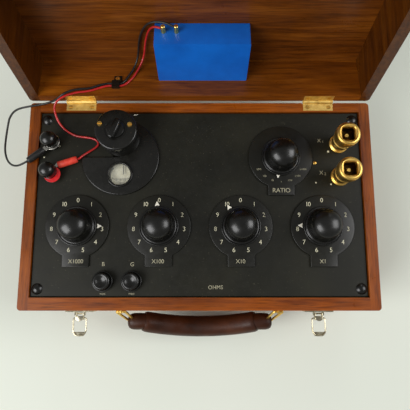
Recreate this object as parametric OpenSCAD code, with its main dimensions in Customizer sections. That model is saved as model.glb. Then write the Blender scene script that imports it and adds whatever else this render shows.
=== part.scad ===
// Portable bridge for measuring resistance, in a hinged hardwood case.
// Origin: centre of the case's underside. +X right, -Y front, +Z up. Millimetres.

/* [Case] */
// Outside width of the case
case_w = 400; // [390:1:430]
// Outside depth of the case, front to back
case_d = 240; // [236:1:262]
// Height of the case up to its rim
case_h = 100; // [92:1:130]
// Thickness of the side walls
side_wall = 12; // [10:0.5:13]
// Thickness of the rear wall
rear_wall = 11; // [9.5:0.5:12]
// Thickness of the front wall
front_wall = 14; // [11:0.5:15]
// Thickness of the bottom board
bottom_t = 8; // [5:0.5:12]
// Radius of the case's upright corners
corner_r = 4; // [2:0.5:6]

/* [Lid] */
// Outside depth of the lid
lid_h = 60; // [58:1:75]
// Thickness of the lid's top board
lid_board_t = 9; // [6:0.5:10]
// Thickness of the lid's wall on the hinge side
lid_rear_wall = 10; // [9:0.5:11]
// Gap between the closed rims
rim_gap = 0.4; // [0.3:0.1:1]
// Angle to which the hinges let the lid open
lid_open = 102; // [95:1:108]

/* [Hinges] */
// Radius of the hinge knuckles
knuckle_r = 2.4; // [2:0.1:2.6]
// Distance of the hinge pin behind the case
hinge_out = 1.5; // [1.3:0.1:1.6]
// Width of each hinge
hinge_w = 35; // [30:1:45]
// Thickness of the hinge leaves
leaf_t = 1.5; // [1:0.1:2]
// Radius of the hinge pin
hinge_pin_r = 1.2; // [0.8:0.1:1.4]
// Distance of each hinge from the centre line
hinge_x = 140; // [110:1:150]

/* [Panel] */
// Thickness of the instrument panel
panel_t = 5; // [4:0.5:7]
// Depth of the panel's face below the rim
panel_drop = 2.5; // [1:0.5:6]
// Gap between the panel and the case walls
panel_gap = 0.3; // [0.2:0.1:0.6]
// Width of the bevel along the panel's edge
panel_bevel = 1.2; // [0.5:0.1:2]
// Radius of the domed heads of the panel screws
panel_screw_r = 6.3; // [4:0.1:7]

/* [Dials] */
// Distance of the outer decade dials from the side walls
dial_side = 48.5; // [47:0.5:52]
// Distance of the decade dials in front of the centre line
dial_front = 27; // [22:1:30]
// Radius of a decade dial plate
dial_r = 36; // [34:0.5:38]
// Radius of the ratio dial plate
ratio_r = 37; // [34:0.5:38]
// Thickness of the dial plates
dial_t = 2.5; // [1.5:0.1:4]
// Width of the label tab under each decade dial
tab_w = 30; // [24:1:36]
// Distance of the ratio dial from the right wall
ratio_side = 94; // [92:0.5:100]
// Distance of the ratio dial from the rear wall
ratio_rear = 55; // [53:0.5:59]

/* [Knobs] */
// Radius of a knob's skirt
skirt_r = 22.5; // [19:0.5:23]
// Radius of a knob's cap
cap_r = 16.9; // [13:0.1:18]
// Height of a knob
knob_h = 29; // [24:0.5:33]
// Radius of a switch spindle
spindle_r = 3; // [2.5:0.1:4]
// Radius of the circle of contact studs
stud_circle_r = 20; // [18:0.5:22]

/* [Galvanometer] */
// Distance of the galvanometer from the left wall
galvo_side = 96; // [94:0.5:98]
// Radius of its round cover
cover_r = 45; // [42:0.5:46]
// Thickness of its round cover
cover_t = 3; // [2:0.5:5]
// Radius of its turret
turret_r = 22.4; // [20:0.2:24]
// Height of its turret
turret_h = 34; // [26:0.5:36]
// Radius of its window
window_r = 13; // [11:0.5:14]
// Length of its needle
needle_len = 42; // [36:0.5:43]

/* [Terminals] */
// Radius of the black terminal heads
black_head_r = 9; // [7:0.5:10]
// Height of the black terminals
black_post_h = 24; // [21:0.5:28]
// Radius of the brass terminal heads
brass_head_r = 13.5; // [12.5:0.5:14.5]
// Height of the brass terminals
brass_post_h = 40; // [34:0.5:42]
// Radius of the terminal studs
stud_r = 2.5; // [2:0.1:3]

/* [Keys] */
// Radius of the key buttons
key_r = 9.5; // [7:0.5:11]
// Travel of the keys
key_travel = 3; // [2:0.1:3.2]

/* [Latches] */
// Distance of each latch from the centre line
latch_x = 132; // [125:1:140]
// Height of the lever pins below the rim
latch_drop = 7; // [6:0.5:8]
// Length of a latch bail
bail_len = 18.6; // [18.2:0.1:20]
// Radius of the bail wire
bail_r = 0.9; // [0.7:0.1:1]

/* [Handle] */
// Distance of each handle staple from the centre line
staple_x = 93; // [88:1:100]
// Height of the handle's pivots
handle_z = 62; // [60:1:75]
// Radius of the leather grip
grip_r = 12.5; // [11:0.5:13]
// Length of the grip
grip_len = 137; // [126:1:138]
// Rise of the grip's middle over its ends
grip_arch = 14; // [4:0.5:15]
// Reach of the wire loops from pivot to grip
loop_reach = 26; // [26:0.5:34]
// Lean of the hanging handle away from the wall
handle_lean = 30; // [29:1:36]

/* [Hidden] */
$fn = 48;
run_fit = 0.05;         // radial play of a turning fit
slip = 0.3;             // gap between pieces that pass each other
touch = 0.01;           // least depth by which two shapes of one piece merge

panel_top = case_h - panel_drop;
panel_bot = panel_top - panel_t;
inner_w = case_w - 2 * side_wall;
inner_front = -case_d / 2 + front_wall;
inner_rear = case_d / 2 - rear_wall;
inner_d = inner_rear - inner_front;
inner_mid = (inner_rear + inner_front) / 2;
panel_w = inner_w - 2 * panel_gap;
panel_d = inner_d - 2 * panel_gap;

hinge_y = case_d / 2 + hinge_out;
hinge_z = case_h + rim_gap / 2;
lid_z = case_h + rim_gap;
lid_in_z = lid_z + lid_h - lid_board_t;
lid_in_rear = case_d / 2 - lid_rear_wall;
leaf_d = knuckle_r + min(rear_wall, lid_rear_wall) - 0.6;
knuckle_gap = 0.3;

plate_top = panel_top + dial_t;
knob_z = plate_top + 0.4;
knob_bore = 18;
bush_r = spindle_r + 2;
dial_y = -dial_front;
ratio_x = inner_w / 2 - ratio_side;
ratio_y = inner_rear - ratio_rear;
outer_dial_x = inner_w / 2 - dial_side;
row_shift = 0.5;                       // the row of decades stands a little right of the middle
decade_x = [for (k = [-1, -1 / 3, 1 / 3, 1]) k * (outer_dial_x - row_shift) + row_shift];
tab_drop = dial_r + 9.6;
ratio_tab_w = tab_w;
ratio_tab_drop = ratio_r + 8.3;
dial_centres = [for (x = decade_x) [x, dial_y], [ratio_x, ratio_y]];
stud_h = 4;
stud_count = 11;
stud_face_r = 2.6;
bobbin_r = 4.2;
bobbin_h = 22;
bobbin_circle_r = stud_circle_r + stud_face_r + bobbin_r + 3;
flange_t = 3;
positions = [3, 0, 10, 8];             // stud that each decade's brush stands on, the first being at the top
ratio_turn = 189;                      // where the ratio's brush stands, clockwise from the top
pointer_turns = [90, 355, 328, 271.5, 189];     // where each knob points, clockwise from the top

galvo_x = inner_w / 2 - galvo_side;
galvo = [-galvo_x, case_d / 2 - 66];
turret_y = galvo[1] + turret_r;
turret_lip = 1;
window_y = galvo[1] - 21;
needle_rest = 5;
needle_z = (panel_top + panel_bot) / 2;
coil_bore = 10;
magnet_h = 26;
bar_knob_h = 8;
turret_screws = [[-17.5, 6.2], [15.6, 5.2]];

left_wall = -inner_w / 2;
black_posts = [[left_wall + 16, case_d / 2 - 48.6], [left_wall + 16.4, case_d / 2 - 84.6]];
brass_posts = [for (y = [50, 89]) [inner_w / 2 - 25.5, case_d / 2 - y]];
collar_h = 5;
washer_t = 1.2;
fork_t = 1;
black_head_z = panel_top + collar_h + washer_t + fork_t + 2 * 0.1;
brass_seat = 14;
brass_head_z = panel_top + brass_seat + 0.4;
brass_recess_r = 7.5;
brass_recess = 12;

keys = [for (x = [81, 113]) [left_wall + x, inner_front + 17.8]];
key_collar_h = 5;
key_low = panel_top + key_travel + slip;
key_top = panel_top + 12;
plunger_r = 3;

screw_inset_x = case_w / 2 - side_wall - 8;
screw_front_y = inner_front + 9.4;
screw_rear_y = inner_rear - 9.5;
panel_screws_at = [for (x = [-screw_inset_x, screw_inset_x], y = [screw_front_y, screw_rear_y]) [x, y]];

latch_z = case_h - latch_drop;
latch_y = -case_d / 2 - 3.5;
lever_arm = 5;
lever_w = 9;
bail_w = 14.2;
latch_plate_w = 31;
latch_plate_t = 1.5;

handle_y = -case_d / 2 - 4;
wire_r = 1.5;
staple_w = 22;
grip_arc_r = (pow(grip_len / 2, 2) + pow(grip_arch, 2)) / (2 * grip_arch);
grip_half = asin(grip_len / 2 / grip_arc_r);

clip_x = 102 - case_w / 2;
clip_w = 9;
battery_x = [clip_x + 50, clip_x + 153];
battery_front = 20;                    // how far the battery's face lies behind the lid's rim
battery_h = 60;
battery_z = lid_z + battery_front;
battery_top = lid_in_rear - battery_h;
battery_posts = [battery_x[0] + 10, battery_x[0] + 24];

wire_d = 2.4;
sleeve_r = 4;
// The routes hold for a case of this width, depth and height, and follow it when it changes.
route_case = [400, 240, 100];
route_lid = [110, 51];                 // inside of the lid's rear wall, and room under its board
// Routes of the two leads on the case, from the plug to the clip in the lid.
red_points = [
    [-141, 50.5, 103], [-138.6, 51.4, 102.9], [-134.5, 55.5, 101.6], [-129, 60, 99.6], [-122.5, 64.5, 99.2],
    [-118.5, 69, 99.2], [-120, 73.5, 99.2], [-125.5, 76.5, 99.2], [-134, 78, 99.2], [-144, 79.5, 99.2],
    [-153.5, 84, 99.2], [-161, 90, 99.6], [-166, 97, 102], [-168, 104, 106.5], [-168, 110, 111],
    [-165, 115, 114.5], [-159, 119.5, 116.3], [-151, 123.5, 116], [-142, 127, 114.2],
    [-133, 128.7, 113], [-125, 130.6, 112.3],
    [-116, 134.2, 111.2], [-109, 136.6, 110.5], [-103.5, 137.1, 110.3], [-98, 137.1, 110.3]];
black_points = [
    [-196.8, 48, 105], [-203, 44.8, 104.2], [-210, 43, 102], [-218, 45, 97.5], [-226, 51, 91],
    [-232, 60, 85.5], [-235.5, 70, 81.5], [-236.5, 80, 79.5], [-236, 90, 79.5], [-234, 99, 82],
    [-230, 106, 87.5], [-222, 111, 95], [-212, 113, 100.8], [-200, 114.5, 103.3], [-188, 116.5, 103.6],
    [-176, 118, 106.5], [-166, 119.5, 112], [-157, 123.5, 117], [-148, 128, 117], [-139, 130.8, 115],
    [-128, 132.8, 113], [-117, 137.2, 111.4], [-109, 139.7, 110.2], [-103.5, 140.1, 109.6],
    [-98, 140.1, 109.6]];
// Routes of their other ends, from the clip to the battery, given with the lid shut.
red_tail_points = [
    [-98, 108.4, 113.4], [-91.5, 108.4, 113.4], [-85.5, 108.4, 116.6], [-80, 108.4, 123], [-76, 108.2, 130],
    [-72, 106.5, 137], [-68, 102, 143], [-65, 95, 146.8], [-63, 86, 148], [-61, 76, 148],
    [-58, 65, 147], [-54, 54, 145], [-48, 46.5, 142], [-40.5, 44.5, 138.4]];
black_tail_points = [
    [-98, 108.4, 116.4], [-92.5, 108.4, 116.4], [-88, 108.4, 119.8], [-84, 108.4, 127], [-80, 108, 134],
    [-76, 105, 141], [-73, 99, 146], [-71, 91, 148.5], [-69, 80, 149.2], [-66, 68, 149.2],
    [-61, 56, 148], [-54, 46, 146], [-44, 41, 143.5], [-34, 40.5, 141], [-26.5, 42.5, 138.4]];

// A tail's route, moved and stretched with the lid.
function tail(points) = [for (p = points) [
    p[0] + clip_x - points[0][0],
    p[1] + lid_in_rear - route_lid[0],
    lid_z + (p[2] - route_case[2] - rim_gap) * (lid_in_z - lid_z) / route_lid[1]]];
red_tail = tail(red_tail_points);
black_tail = tail(black_tail_points);

// A lead's route, moved with the case. Its last points bend to the clip, wherever the lid has it.
laid_last = 8;
function laid(points, clip) =
    let (n = len(points) - 1,
        move = [(route_case[0] - case_w) / 2, (case_d - route_case[1]) / 2, case_h - route_case[2]],
        rest = clip - points[n] - move)
    [for (k = [0:n]) points[k] + move + rest * max(0, 1 - (n - k) / laid_last)];
red_route = laid(red_points, opened_point(red_tail[0]));
black_route = laid(black_points, opened_point(black_tail[0]));

// ---- shared shapes ----

// Flat plate with rounded corners, its base at z = 0.
module rounded_plate(w, d, r, h) {
    linear_extrude(h) {
        square([w - 2 * r, d], center = true);
        square([w, d - 2 * r], center = true);
        for (x = [-1, 1], y = [-1, 1]) translate([x * (w / 2 - r), y * (d / 2 - r)]) circle(r);
    }
}

// Round bar between two points.
module rod(a, b, r) {
    v = b - a;
    len = norm(v);
    turn = atan2(v[1], v[0]);
    tip = acos(v[2] / len);
    translate(a) rotate([0, tip, turn]) cylinder(h = len, r = r, $fn = 16);
}

function unit(v) = v / norm(v);
function along(p, k) = unit(p[min(k + 1, len(p) - 1)] - p[max(k - 1, 0)]);

// Tube swept along a route, with flat ends.
module lead_tube(route, d, sides = 8) {
    rings = len(route);
    points = [
        for (k = [0:rings - 1])
            let (t = along(route, k), u = unit(cross(t, [0, 0, 1])), v = cross(u, t))
            for (s = [0:sides - 1]) route[k] + (cos(360 * s / sides) * u + sin(360 * s / sides) * v) * d / 2];
    skin = [
        for (k = [0:rings - 2], s = [0:sides - 1])
            let (a = k * sides + s, b = k * sides + (s + 1) % sides)
            each [[a, b, b + sides], [a, b + sides, a + sides]]];
    caps = [[for (s = [0:sides - 1]) sides - 1 - s], [for (s = [0:sides - 1]) (rings - 1) * sides + s]];
    polyhedron(points, concat(skin, caps));
}

// A point given with the lid shut, turned with the lid to where it stands open.
function opened_point(p) =
    let (y = p[1] - hinge_y, z = p[2] - hinge_z)
    [p[0], hinge_y + y * cos(lid_open) + z * sin(lid_open), hinge_z - y * sin(lid_open) + z * cos(lid_open)];

// Turns its children, modelled on the shut lid, to where the lid stands open.
module opened() {
    translate([0, hinge_y, hinge_z]) rotate([-lid_open, 0, 0]) translate([0, -hinge_y, -hinge_z]) children();
}

// Countersunk slotted screw, its head's face at z = 0 and its shank below.
module slotted_screw(head_r, shank_r, length) {
    difference() {
        union() {
            translate([0, 0, -head_r * 0.6]) cylinder(h = head_r * 0.6, r1 = shank_r, r2 = head_r, $fn = 32);
            translate([0, 0, -length]) cylinder(h = length - head_r * 0.6 + touch, r = shank_r, $fn = 24);
        }
        translate([-head_r, -head_r * 0.12, -head_r * 0.25]) cube([2 * head_r, head_r * 0.24, head_r]);
    }
}

// Hole for such a screw.
module screw_hole(head_r, shank_r, length) {
    slope = (head_r - shank_r) / (head_r * 0.6);
    translate([0, 0, -head_r * 0.6])
        cylinder(h = head_r * 0.6 + touch, r1 = shank_r, r2 = head_r + slope * touch, $fn = 32);
    translate([0, 0, -length]) cylinder(h = length + touch, r = shank_r, $fn = 24);
}

// ---- case ----

hinge_screw_head = 2.6;
hinge_screw_shank = 1.4;
hinge_screw_len = 9;
hinge_screw_x = 12.5;
hinge_screw_in = 4.2;
leaf_front = case_d / 2 - leaf_d + knuckle_r;
function hinge_screws() =
    [for (h = [-hinge_x, hinge_x], s = [-hinge_screw_x, hinge_screw_x]) [h + s, leaf_front + hinge_screw_in]];

// Room in the walls for the hinge barrels.
module barrel_notch() {
    for (x = [-hinge_x, hinge_x]) translate([x - hinge_w / 2 - 1, hinge_y, hinge_z]) rotate([0, 90, 0])
        cylinder(h = hinge_w + 2, r = knuckle_r + slip);
}

module leaf_seat(z) {
    for (x = [-hinge_x, hinge_x]) translate([x - hinge_w / 2, leaf_front, z])
        cube([hinge_w, leaf_d, leaf_t + touch]);
}

front_screw_head = 2;
front_screw_shank = 1.1;
front_screw_len = 8;
latch_screw_x = latch_plate_w / 2 - 3;
latch_plate_h = 24;
latch_plate_z = case_h - 2 - latch_plate_h;
staple_screw_x = staple_w / 2 - 3;
function front_screws() = concat(
    [for (l = [-latch_x, latch_x], s = [-latch_screw_x, latch_screw_x], z = [5, latch_plate_h - 5])
        [l + s, latch_plate_z + z, latch_plate_t]],
    [for (h = [-staple_x, staple_x], s = [-staple_screw_x, staple_screw_x]) [h + s, handle_z, staple_t]]);
staple_t = 1.5;

module at_front(p) {
    translate([p[0], -case_d / 2 - p[2], p[1]]) rotate([90, 0, 0]) children();
}

module case_walls() {
    color([0.55, 0.29, 0.13]) difference() {
        rounded_plate(case_w, case_d, corner_r, case_h);
        translate([-inner_w / 2, inner_front, -1]) cube([inner_w, inner_d, case_h + 2]);
        leaf_seat(case_h - leaf_t);
        barrel_notch();
        for (p = hinge_screws()) translate([p[0], p[1], case_h])
            screw_hole(hinge_screw_head, hinge_screw_shank, hinge_screw_len);
        for (p = front_screws()) at_front(p) screw_hole(front_screw_head, front_screw_shank, front_screw_len);
    }
}

module case_bottom() {
    color([0.5, 0.28, 0.13]) translate([-inner_w / 2, inner_front, 0]) cube([inner_w, inner_d, bottom_t]);
}

batten_w = 8;
panel_screw_shank = 1.8;
batten_h = 12;
block_w = 18;

module panel_battens() {
    color([0.6, 0.4, 0.22]) difference() {
        union() {
            for (x = [-1, 1]) translate([x * (inner_w - batten_w) / 2, inner_mid, panel_bot - batten_h / 2])
                cube([batten_w, inner_d, batten_h], center = true);
            for (y = [inner_front + batten_w / 2, inner_rear - batten_w / 2])
                translate([0, y, panel_bot - batten_h / 2])
                    cube([inner_w, batten_w, batten_h], center = true);
            for (x = [-1, 1], y = [inner_front, inner_rear - block_w])
                translate([x * (inner_w - block_w) / 2 - block_w / 2, y, panel_bot - 1.5 * batten_h])
                    cube([block_w, block_w, 1.5 * batten_h]);
        }
        for (p = panel_screws_at) translate([p[0], p[1], panel_bot - batten_h])
            cylinder(h = batten_h + panel_t, r = panel_screw_shank, $fn = 24);
    }
}

// ---- panel and dials ----

module bevelled_section(w) {
    polygon([[-w / 2, panel_bot], [w / 2, panel_bot], [w / 2, panel_top - panel_bevel],
        [w / 2 - panel_bevel, panel_top], [-w / 2 + panel_bevel, panel_top],
        [-w / 2, panel_top - panel_bevel]]);
}

module instrument_panel() {
    color([0.13, 0.125, 0.11]) difference() {
        intersection() {
            translate([0, inner_mid + panel_d / 2, 0]) rotate([90, 0, 0])
                linear_extrude(panel_d) bevelled_section(panel_w);
            translate([-panel_w / 2, inner_mid, 0]) rotate([90, 0, 90])
                linear_extrude(panel_w) bevelled_section(panel_d);
        }
        for (p = dial_centres) translate([p[0], p[1], 0]) cylinder(h = case_h, r = bush_r);
        for (p = concat(black_posts, brass_posts)) translate([p[0], p[1], 0])
            cylinder(h = case_h, r = stud_r);
        for (p = keys) translate([p[0], p[1], 0]) cylinder(h = case_h, r = plunger_r + run_fit);
        for (p = panel_screws_at) translate([p[0], p[1], 0])
            cylinder(h = case_h, r = panel_screw_shank, $fn = 24);
        translate([-galvo_x, turret_y, 0]) cylinder(h = case_h, r = turret_r - 5);
        translate([-galvo_x, window_y, 0]) cylinder(h = case_h, r = window_r - 1);
        translate([-galvo_x - 9, window_y, 0]) cube([18, turret_y - window_y, case_h]);
    }
}

module keyhole_plate(r, tab, drop) {
    translate([0, 0, panel_top]) difference() {
        linear_extrude(dial_t) {
            circle(r, $fn = 96);
            translate([-tab / 2, -drop]) square([tab, drop]);
        }
        translate([0, 0, -1]) cylinder(h = dial_t + 2, r = bush_r);
    }
}

module dial_plates() {
    color([0.1, 0.1, 0.09]) {
        for (x = decade_x) translate([x, dial_y, 0]) keyhole_plate(dial_r, tab_w, tab_drop);
        translate([ratio_x, ratio_y, 0]) keyhole_plate(ratio_r, ratio_tab_w, ratio_tab_drop);
    }
}

module panel_screws() {
    dome_h = 3.2;
    dome_r = (pow(panel_screw_r, 2) + pow(dome_h, 2)) / (2 * dome_h);
    color([0.06, 0.06, 0.06]) for (p = panel_screws_at) translate([p[0], p[1], panel_top]) {
        intersection() {
            translate([0, 0, dome_h - dome_r]) sphere(dome_r, $fn = 96);
            cylinder(h = dome_h + 1, r = panel_screw_r);
        }
        translate([0, 0, -panel_t - batten_h + 1])
            cylinder(h = panel_t + batten_h - 1 + touch, r = panel_screw_shank, $fn = 24);
    }
}

// ---- switches ----

flank_h = 8;
nib_t = 1.2;
decade_reach = skirt_r + 5.9;
ratio_reach = skirt_r + 3.3;

// Knob with a small pointer on its skirt. reach is the distance of the pointer's tip from the axis.
module knob(at, turn, reach) {
    flank = [for (t = [0:15:90])
        [cap_r + (skirt_r - 1 - cap_r) * (1 - sin(t)), 3.6 + flank_h * (1 - cos(t))]];
    crown = [for (t = [0:15:90]) [cap_r - 4 + 4 * cos(t), knob_h - 4.8 + 4 * sin(t)]];
    color([0.05, 0.05, 0.05]) translate([at[0], at[1], knob_z]) {
        rotate_extrude($fn = 72) polygon(concat(
            [[0, knob_bore], [spindle_r, knob_bore], [spindle_r, 0], [skirt_r - 0.8, 0], [skirt_r, 0.8],
                [skirt_r, 2.8], [skirt_r - 0.3, 3.4]],
            flank, crown, [[0, knob_h]]));
        rotate([0, 0, 90 - turn]) translate([0, 0, 1]) linear_extrude(nib_t)
            polygon([[skirt_r - 3, -3.6], [reach, -0.5], [reach, 0.5], [skirt_r - 3, 3.6]]);
    }
}

brush_t = 1.2;
brush_w = 7;
hub_r = 6;
hub_z = panel_bot - flange_t - 0.4;
hub_h = 11;

module rotor(at, turn) {
    color([0.8, 0.6, 0.3]) translate([at[0], at[1], 0]) rotate([0, 0, 90 - turn]) {
        translate([0, 0, hub_z - hub_h]) cylinder(h = hub_h, r = hub_r);
        translate([0, 0, hub_z - hub_h])
            cylinder(h = knob_z + knob_bore - 0.5 - hub_z + hub_h, r = spindle_r);
        translate([0, -brush_w / 2, panel_bot - stud_h - slip - brush_t])
            cube([stud_circle_r + stud_face_r, brush_w, brush_t]);
    }
}

function turn_of(position) = position * 360 / stud_count;

module knob_x1000() { knob(dial_centres[0], pointer_turns[0], decade_reach); }
module knob_x100() { knob(dial_centres[1], pointer_turns[1], decade_reach); }
module knob_x10() { knob(dial_centres[2], pointer_turns[2], decade_reach); }
module knob_x1() { knob(dial_centres[3], pointer_turns[3], decade_reach); }
module knob_ratio() { knob(dial_centres[4], pointer_turns[4], ratio_reach); }
module rotor_x1000() { rotor(dial_centres[0], turn_of(positions[0])); }
module rotor_x100() { rotor(dial_centres[1], turn_of(positions[1])); }
module rotor_x10() { rotor(dial_centres[2], turn_of(positions[2])); }
module rotor_x1() { rotor(dial_centres[3], turn_of(positions[3])); }
module rotor_ratio() { rotor(dial_centres[4], ratio_turn); }

module spindle_bushes() {
    color([0.8, 0.6, 0.3]) for (p = dial_centres) translate([p[0], p[1], 0]) difference() {
        union() {
            translate([0, 0, panel_bot - flange_t]) cylinder(h = flange_t, r = bush_r + 3);
            translate([0, 0, panel_bot - touch]) cylinder(h = plate_top - panel_bot + touch, r = bush_r);
        }
        cylinder(h = plate_top + 1, r = spindle_r + run_fit);
    }
}

ratio_step = 18;
ratio_studs = 8;
blade_z = panel_bot - slip - 2 - key_travel - slip;

module switch_contacts() {
    color([0.82, 0.62, 0.3]) {
        for (p = [for (k = [0:3]) dial_centres[k]], s = [0:stud_count - 1])
            translate([p[0], p[1], panel_bot - stud_h]) rotate([0, 0, 90 - turn_of(s)])
                translate([stud_circle_r, 0, 0]) cylinder(h = stud_h, r = stud_face_r, $fn = 24);
        for (s = [0:ratio_studs - 1])
            translate([ratio_x, ratio_y, panel_bot - stud_h]) rotate([0, 0, 90 - 117 - s * ratio_step])
                translate([stud_circle_r, 0, 0]) cylinder(h = stud_h, r = stud_face_r, $fn = 24);
        for (p = keys) translate([p[0], p[1], 0]) {
            translate([-5, -4, blade_z - 0.8]) cube([24, 8, 0.8]);
            translate([13, -4, blade_z - touch]) cube([6, 8, panel_bot - blade_z + touch]);
        }
    }
}

module bobbin() {
    cheek = 1.4;
    winding_in = 0.7;
    rotate_extrude($fn = 24) polygon([[0, -bobbin_h], [bobbin_r, -bobbin_h], [bobbin_r, -bobbin_h + cheek],
        [bobbin_r - winding_in, -bobbin_h + cheek], [bobbin_r - winding_in, -cheek],
        [bobbin_r, -cheek], [bobbin_r, 0], [0, 0]]);
}

module resistance_bobbins() {
    color([0.6, 0.42, 0.2]) {
        for (p = [for (k = [0:3]) dial_centres[k]], s = [0:stud_count - 2])
            translate([p[0], p[1], panel_bot]) rotate([0, 0, 90 - turn_of(s + 0.5)])
                translate([bobbin_circle_r, 0, 0]) bobbin();
        for (s = [0:ratio_studs - 1])
            translate([ratio_x, ratio_y, panel_bot]) rotate([0, 0, 90 - 27 - s * 45])
                translate([bobbin_circle_r, 0, 0]) bobbin();
    }
}

// ---- galvanometer ----

rim_t = 2;
rim_h = 5;
glass_z = panel_top + 1;
turret_wall = 3;

module galvanometer_cover() {
    color([0.09, 0.09, 0.085]) difference() {
        union() {
            difference() {
                translate([galvo[0], galvo[1], panel_top]) cylinder(h = cover_t, r = cover_r, $fn = 96);
                translate([galvo[0] - cover_r - 1, galvo[1], panel_top - 1])
                    cube([cover_r + 1, cover_r + 1, cover_t + 2]);
            }
            translate([-galvo_x, window_y, panel_top]) cylinder(h = rim_h, r = window_r + rim_t);
        }
        translate([-galvo_x, window_y, panel_top - 1]) cylinder(h = rim_h + 2, r = window_r);
        translate([-galvo_x, turret_y, panel_top - 1]) cylinder(h = cover_t + 2, r = turret_r);
    }
}

module galvanometer_turret() {
    round = 1.6;
    top_r = turret_r + turret_lip;
    edge = [for (t = [0:15:90]) [top_r - round + round * cos(t), turret_h - round + round * sin(t)]];
    color([0.1, 0.1, 0.09]) translate([-galvo_x, turret_y, panel_top]) difference() {
        rotate_extrude($fn = 72) polygon(concat(
            [[turret_r - turret_wall, 0], [turret_r, 0], [turret_r, turret_h - 7], [top_r, turret_h - 6]],
            edge,
            [[spindle_r + run_fit, turret_h], [spindle_r + run_fit, turret_h - 6],
                [turret_r - turret_wall, turret_h - 6]]));
        for (p = turret_screws) translate([p[0], p[1], turret_h - 5]) cylinder(h = 10, r = 1.5, $fn = 24);
    }
}

module window_glass() {
    color([0.85, 0.9, 0.9, 0.35]) translate([-galvo_x, window_y, glass_z]) cylinder(h = 1.5, r = window_r);
}

module scale_card() {
    color([0.88, 0.86, 0.7]) translate([-galvo_x, window_y, panel_bot - 0.8])
        cylinder(h = 0.8, r = window_r + 2);
}

bridge_t = 4;

module galvanometer_magnet() {
    magnet_r = turret_r + 1;
    color([0.35, 0.35, 0.37]) translate([-galvo_x, turret_y, panel_bot - magnet_h]) {
        difference() {
            cylinder(h = magnet_h, r = magnet_r);
            translate([0, 0, -1]) cylinder(h = magnet_h + 2, r = coil_bore);
        }
        difference() {
            translate([-magnet_r + 2, -5, -bridge_t]) cube([2 * magnet_r - 4, 10, bridge_t]);
            translate([0, 0, -bridge_t - 1]) cylinder(h = bridge_t + 2, r = pivot_r + run_fit, $fn = 24);
        }
    }
}

coil_w = 14;
coil_t = 4;
coil_gap = 1.5;
pivot_r = 1;
pivot_rise = 12;
needle_t = 0.8;

module galvanometer_movement() {
    color([0.15, 0.15, 0.15]) translate([-galvo_x, turret_y, 0]) {
        translate([0, 0, panel_bot - magnet_h - bridge_t])
            cylinder(h = magnet_h + bridge_t + pivot_rise, r = pivot_r, $fn = 24);
        translate([-coil_w / 2, -coil_t / 2, panel_bot - magnet_h + coil_gap])
            cube([coil_w, coil_t, magnet_h - 2 * coil_gap]);
        rotate([0, 0, needle_rest]) translate([-needle_t / 2, -needle_len, needle_z - needle_t / 2])
            cube([needle_t, needle_len, needle_t]);
        translate([0, 0, needle_z - 1]) cylinder(h = 2, r = 2.5, $fn = 24);
    }
}

module turret_knob() {
    base_h = 2.5;
    color([0.06, 0.06, 0.06]) translate([-galvo_x, turret_y, panel_top + turret_h + slip]) {
        translate([0, 0, -8]) cylinder(h = 8 + base_h, r = spindle_r);
        cylinder(h = base_h, r = 9.5);
        rotate([0, 0, -25]) translate([-3, -9, base_h - touch]) cube([6, 18, bar_knob_h - base_h]);
    }
}

// ---- terminals ----

nut_r = 5;
nut_t = 3.5;
stud_below = 2;

module post_nut(p) {
    translate([p[0], p[1], panel_bot - nut_t]) difference() {
        cylinder(h = nut_t, r = nut_r, $fn = 6);
        translate([0, 0, -1]) cylinder(h = nut_t + 2, r = stud_r);
    }
}

black_stud_h = black_post_h - 4;

module black_post_bases() {
    color([0.08, 0.08, 0.08]) for (p = black_posts) {
        translate([p[0], p[1], panel_top]) difference() {
            cylinder(h = collar_h, r = black_head_r);
            translate([0, 0, -1]) cylinder(h = collar_h + 2, r = stud_r);
        }
        translate([p[0], p[1], panel_top + collar_h]) difference() {
            cylinder(h = washer_t, r = black_head_r + 0.3);
            translate([0, 0, -1]) cylinder(h = washer_t + 2, r = stud_r);
        }
        translate([p[0], p[1], panel_bot - nut_t - stud_below])
            cylinder(h = panel_t + nut_t + stud_below + black_stud_h, r = stud_r);
        post_nut(p);
    }
}

module brass_post_bases() {
    color([0.83, 0.65, 0.3]) for (p = brass_posts) {
        translate([p[0], p[1], panel_top]) rotate_extrude() polygon([
            [stud_r, 0], [brass_head_r - 2.5, 0], [brass_head_r - 2.5, 3], [8.5, 4], [8.5, 9], [10.5, 10.5],
            [10.5, brass_seat], [stud_r, brass_seat]]);
        translate([p[0], p[1], panel_bot - nut_t - stud_below])
            cylinder(h = panel_t + nut_t + stud_below + brass_post_h - brass_recess + 4, r = stud_r);
        post_nut(p);
    }
}

module black_head(p) {
    top = black_post_h - (black_head_z - panel_top);
    dome = [for (t = [0:15:90]) [black_head_r - 3.5 + 3.5 * cos(t), top - 3.5 + 3.5 * sin(t)]];
    bore = black_stud_h - (black_head_z - panel_top) + 0.5;
    color([0.05, 0.05, 0.05]) translate([p[0], p[1], black_head_z]) rotate_extrude() polygon(concat(
        [[0, bore], [stud_r + run_fit, bore], [stud_r + run_fit, 0], [black_head_r - 1.5, 0],
            [black_head_r - 1.5, 1.5], [black_head_r, 2.3]],
        dome, [[0, top]]));
}

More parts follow.
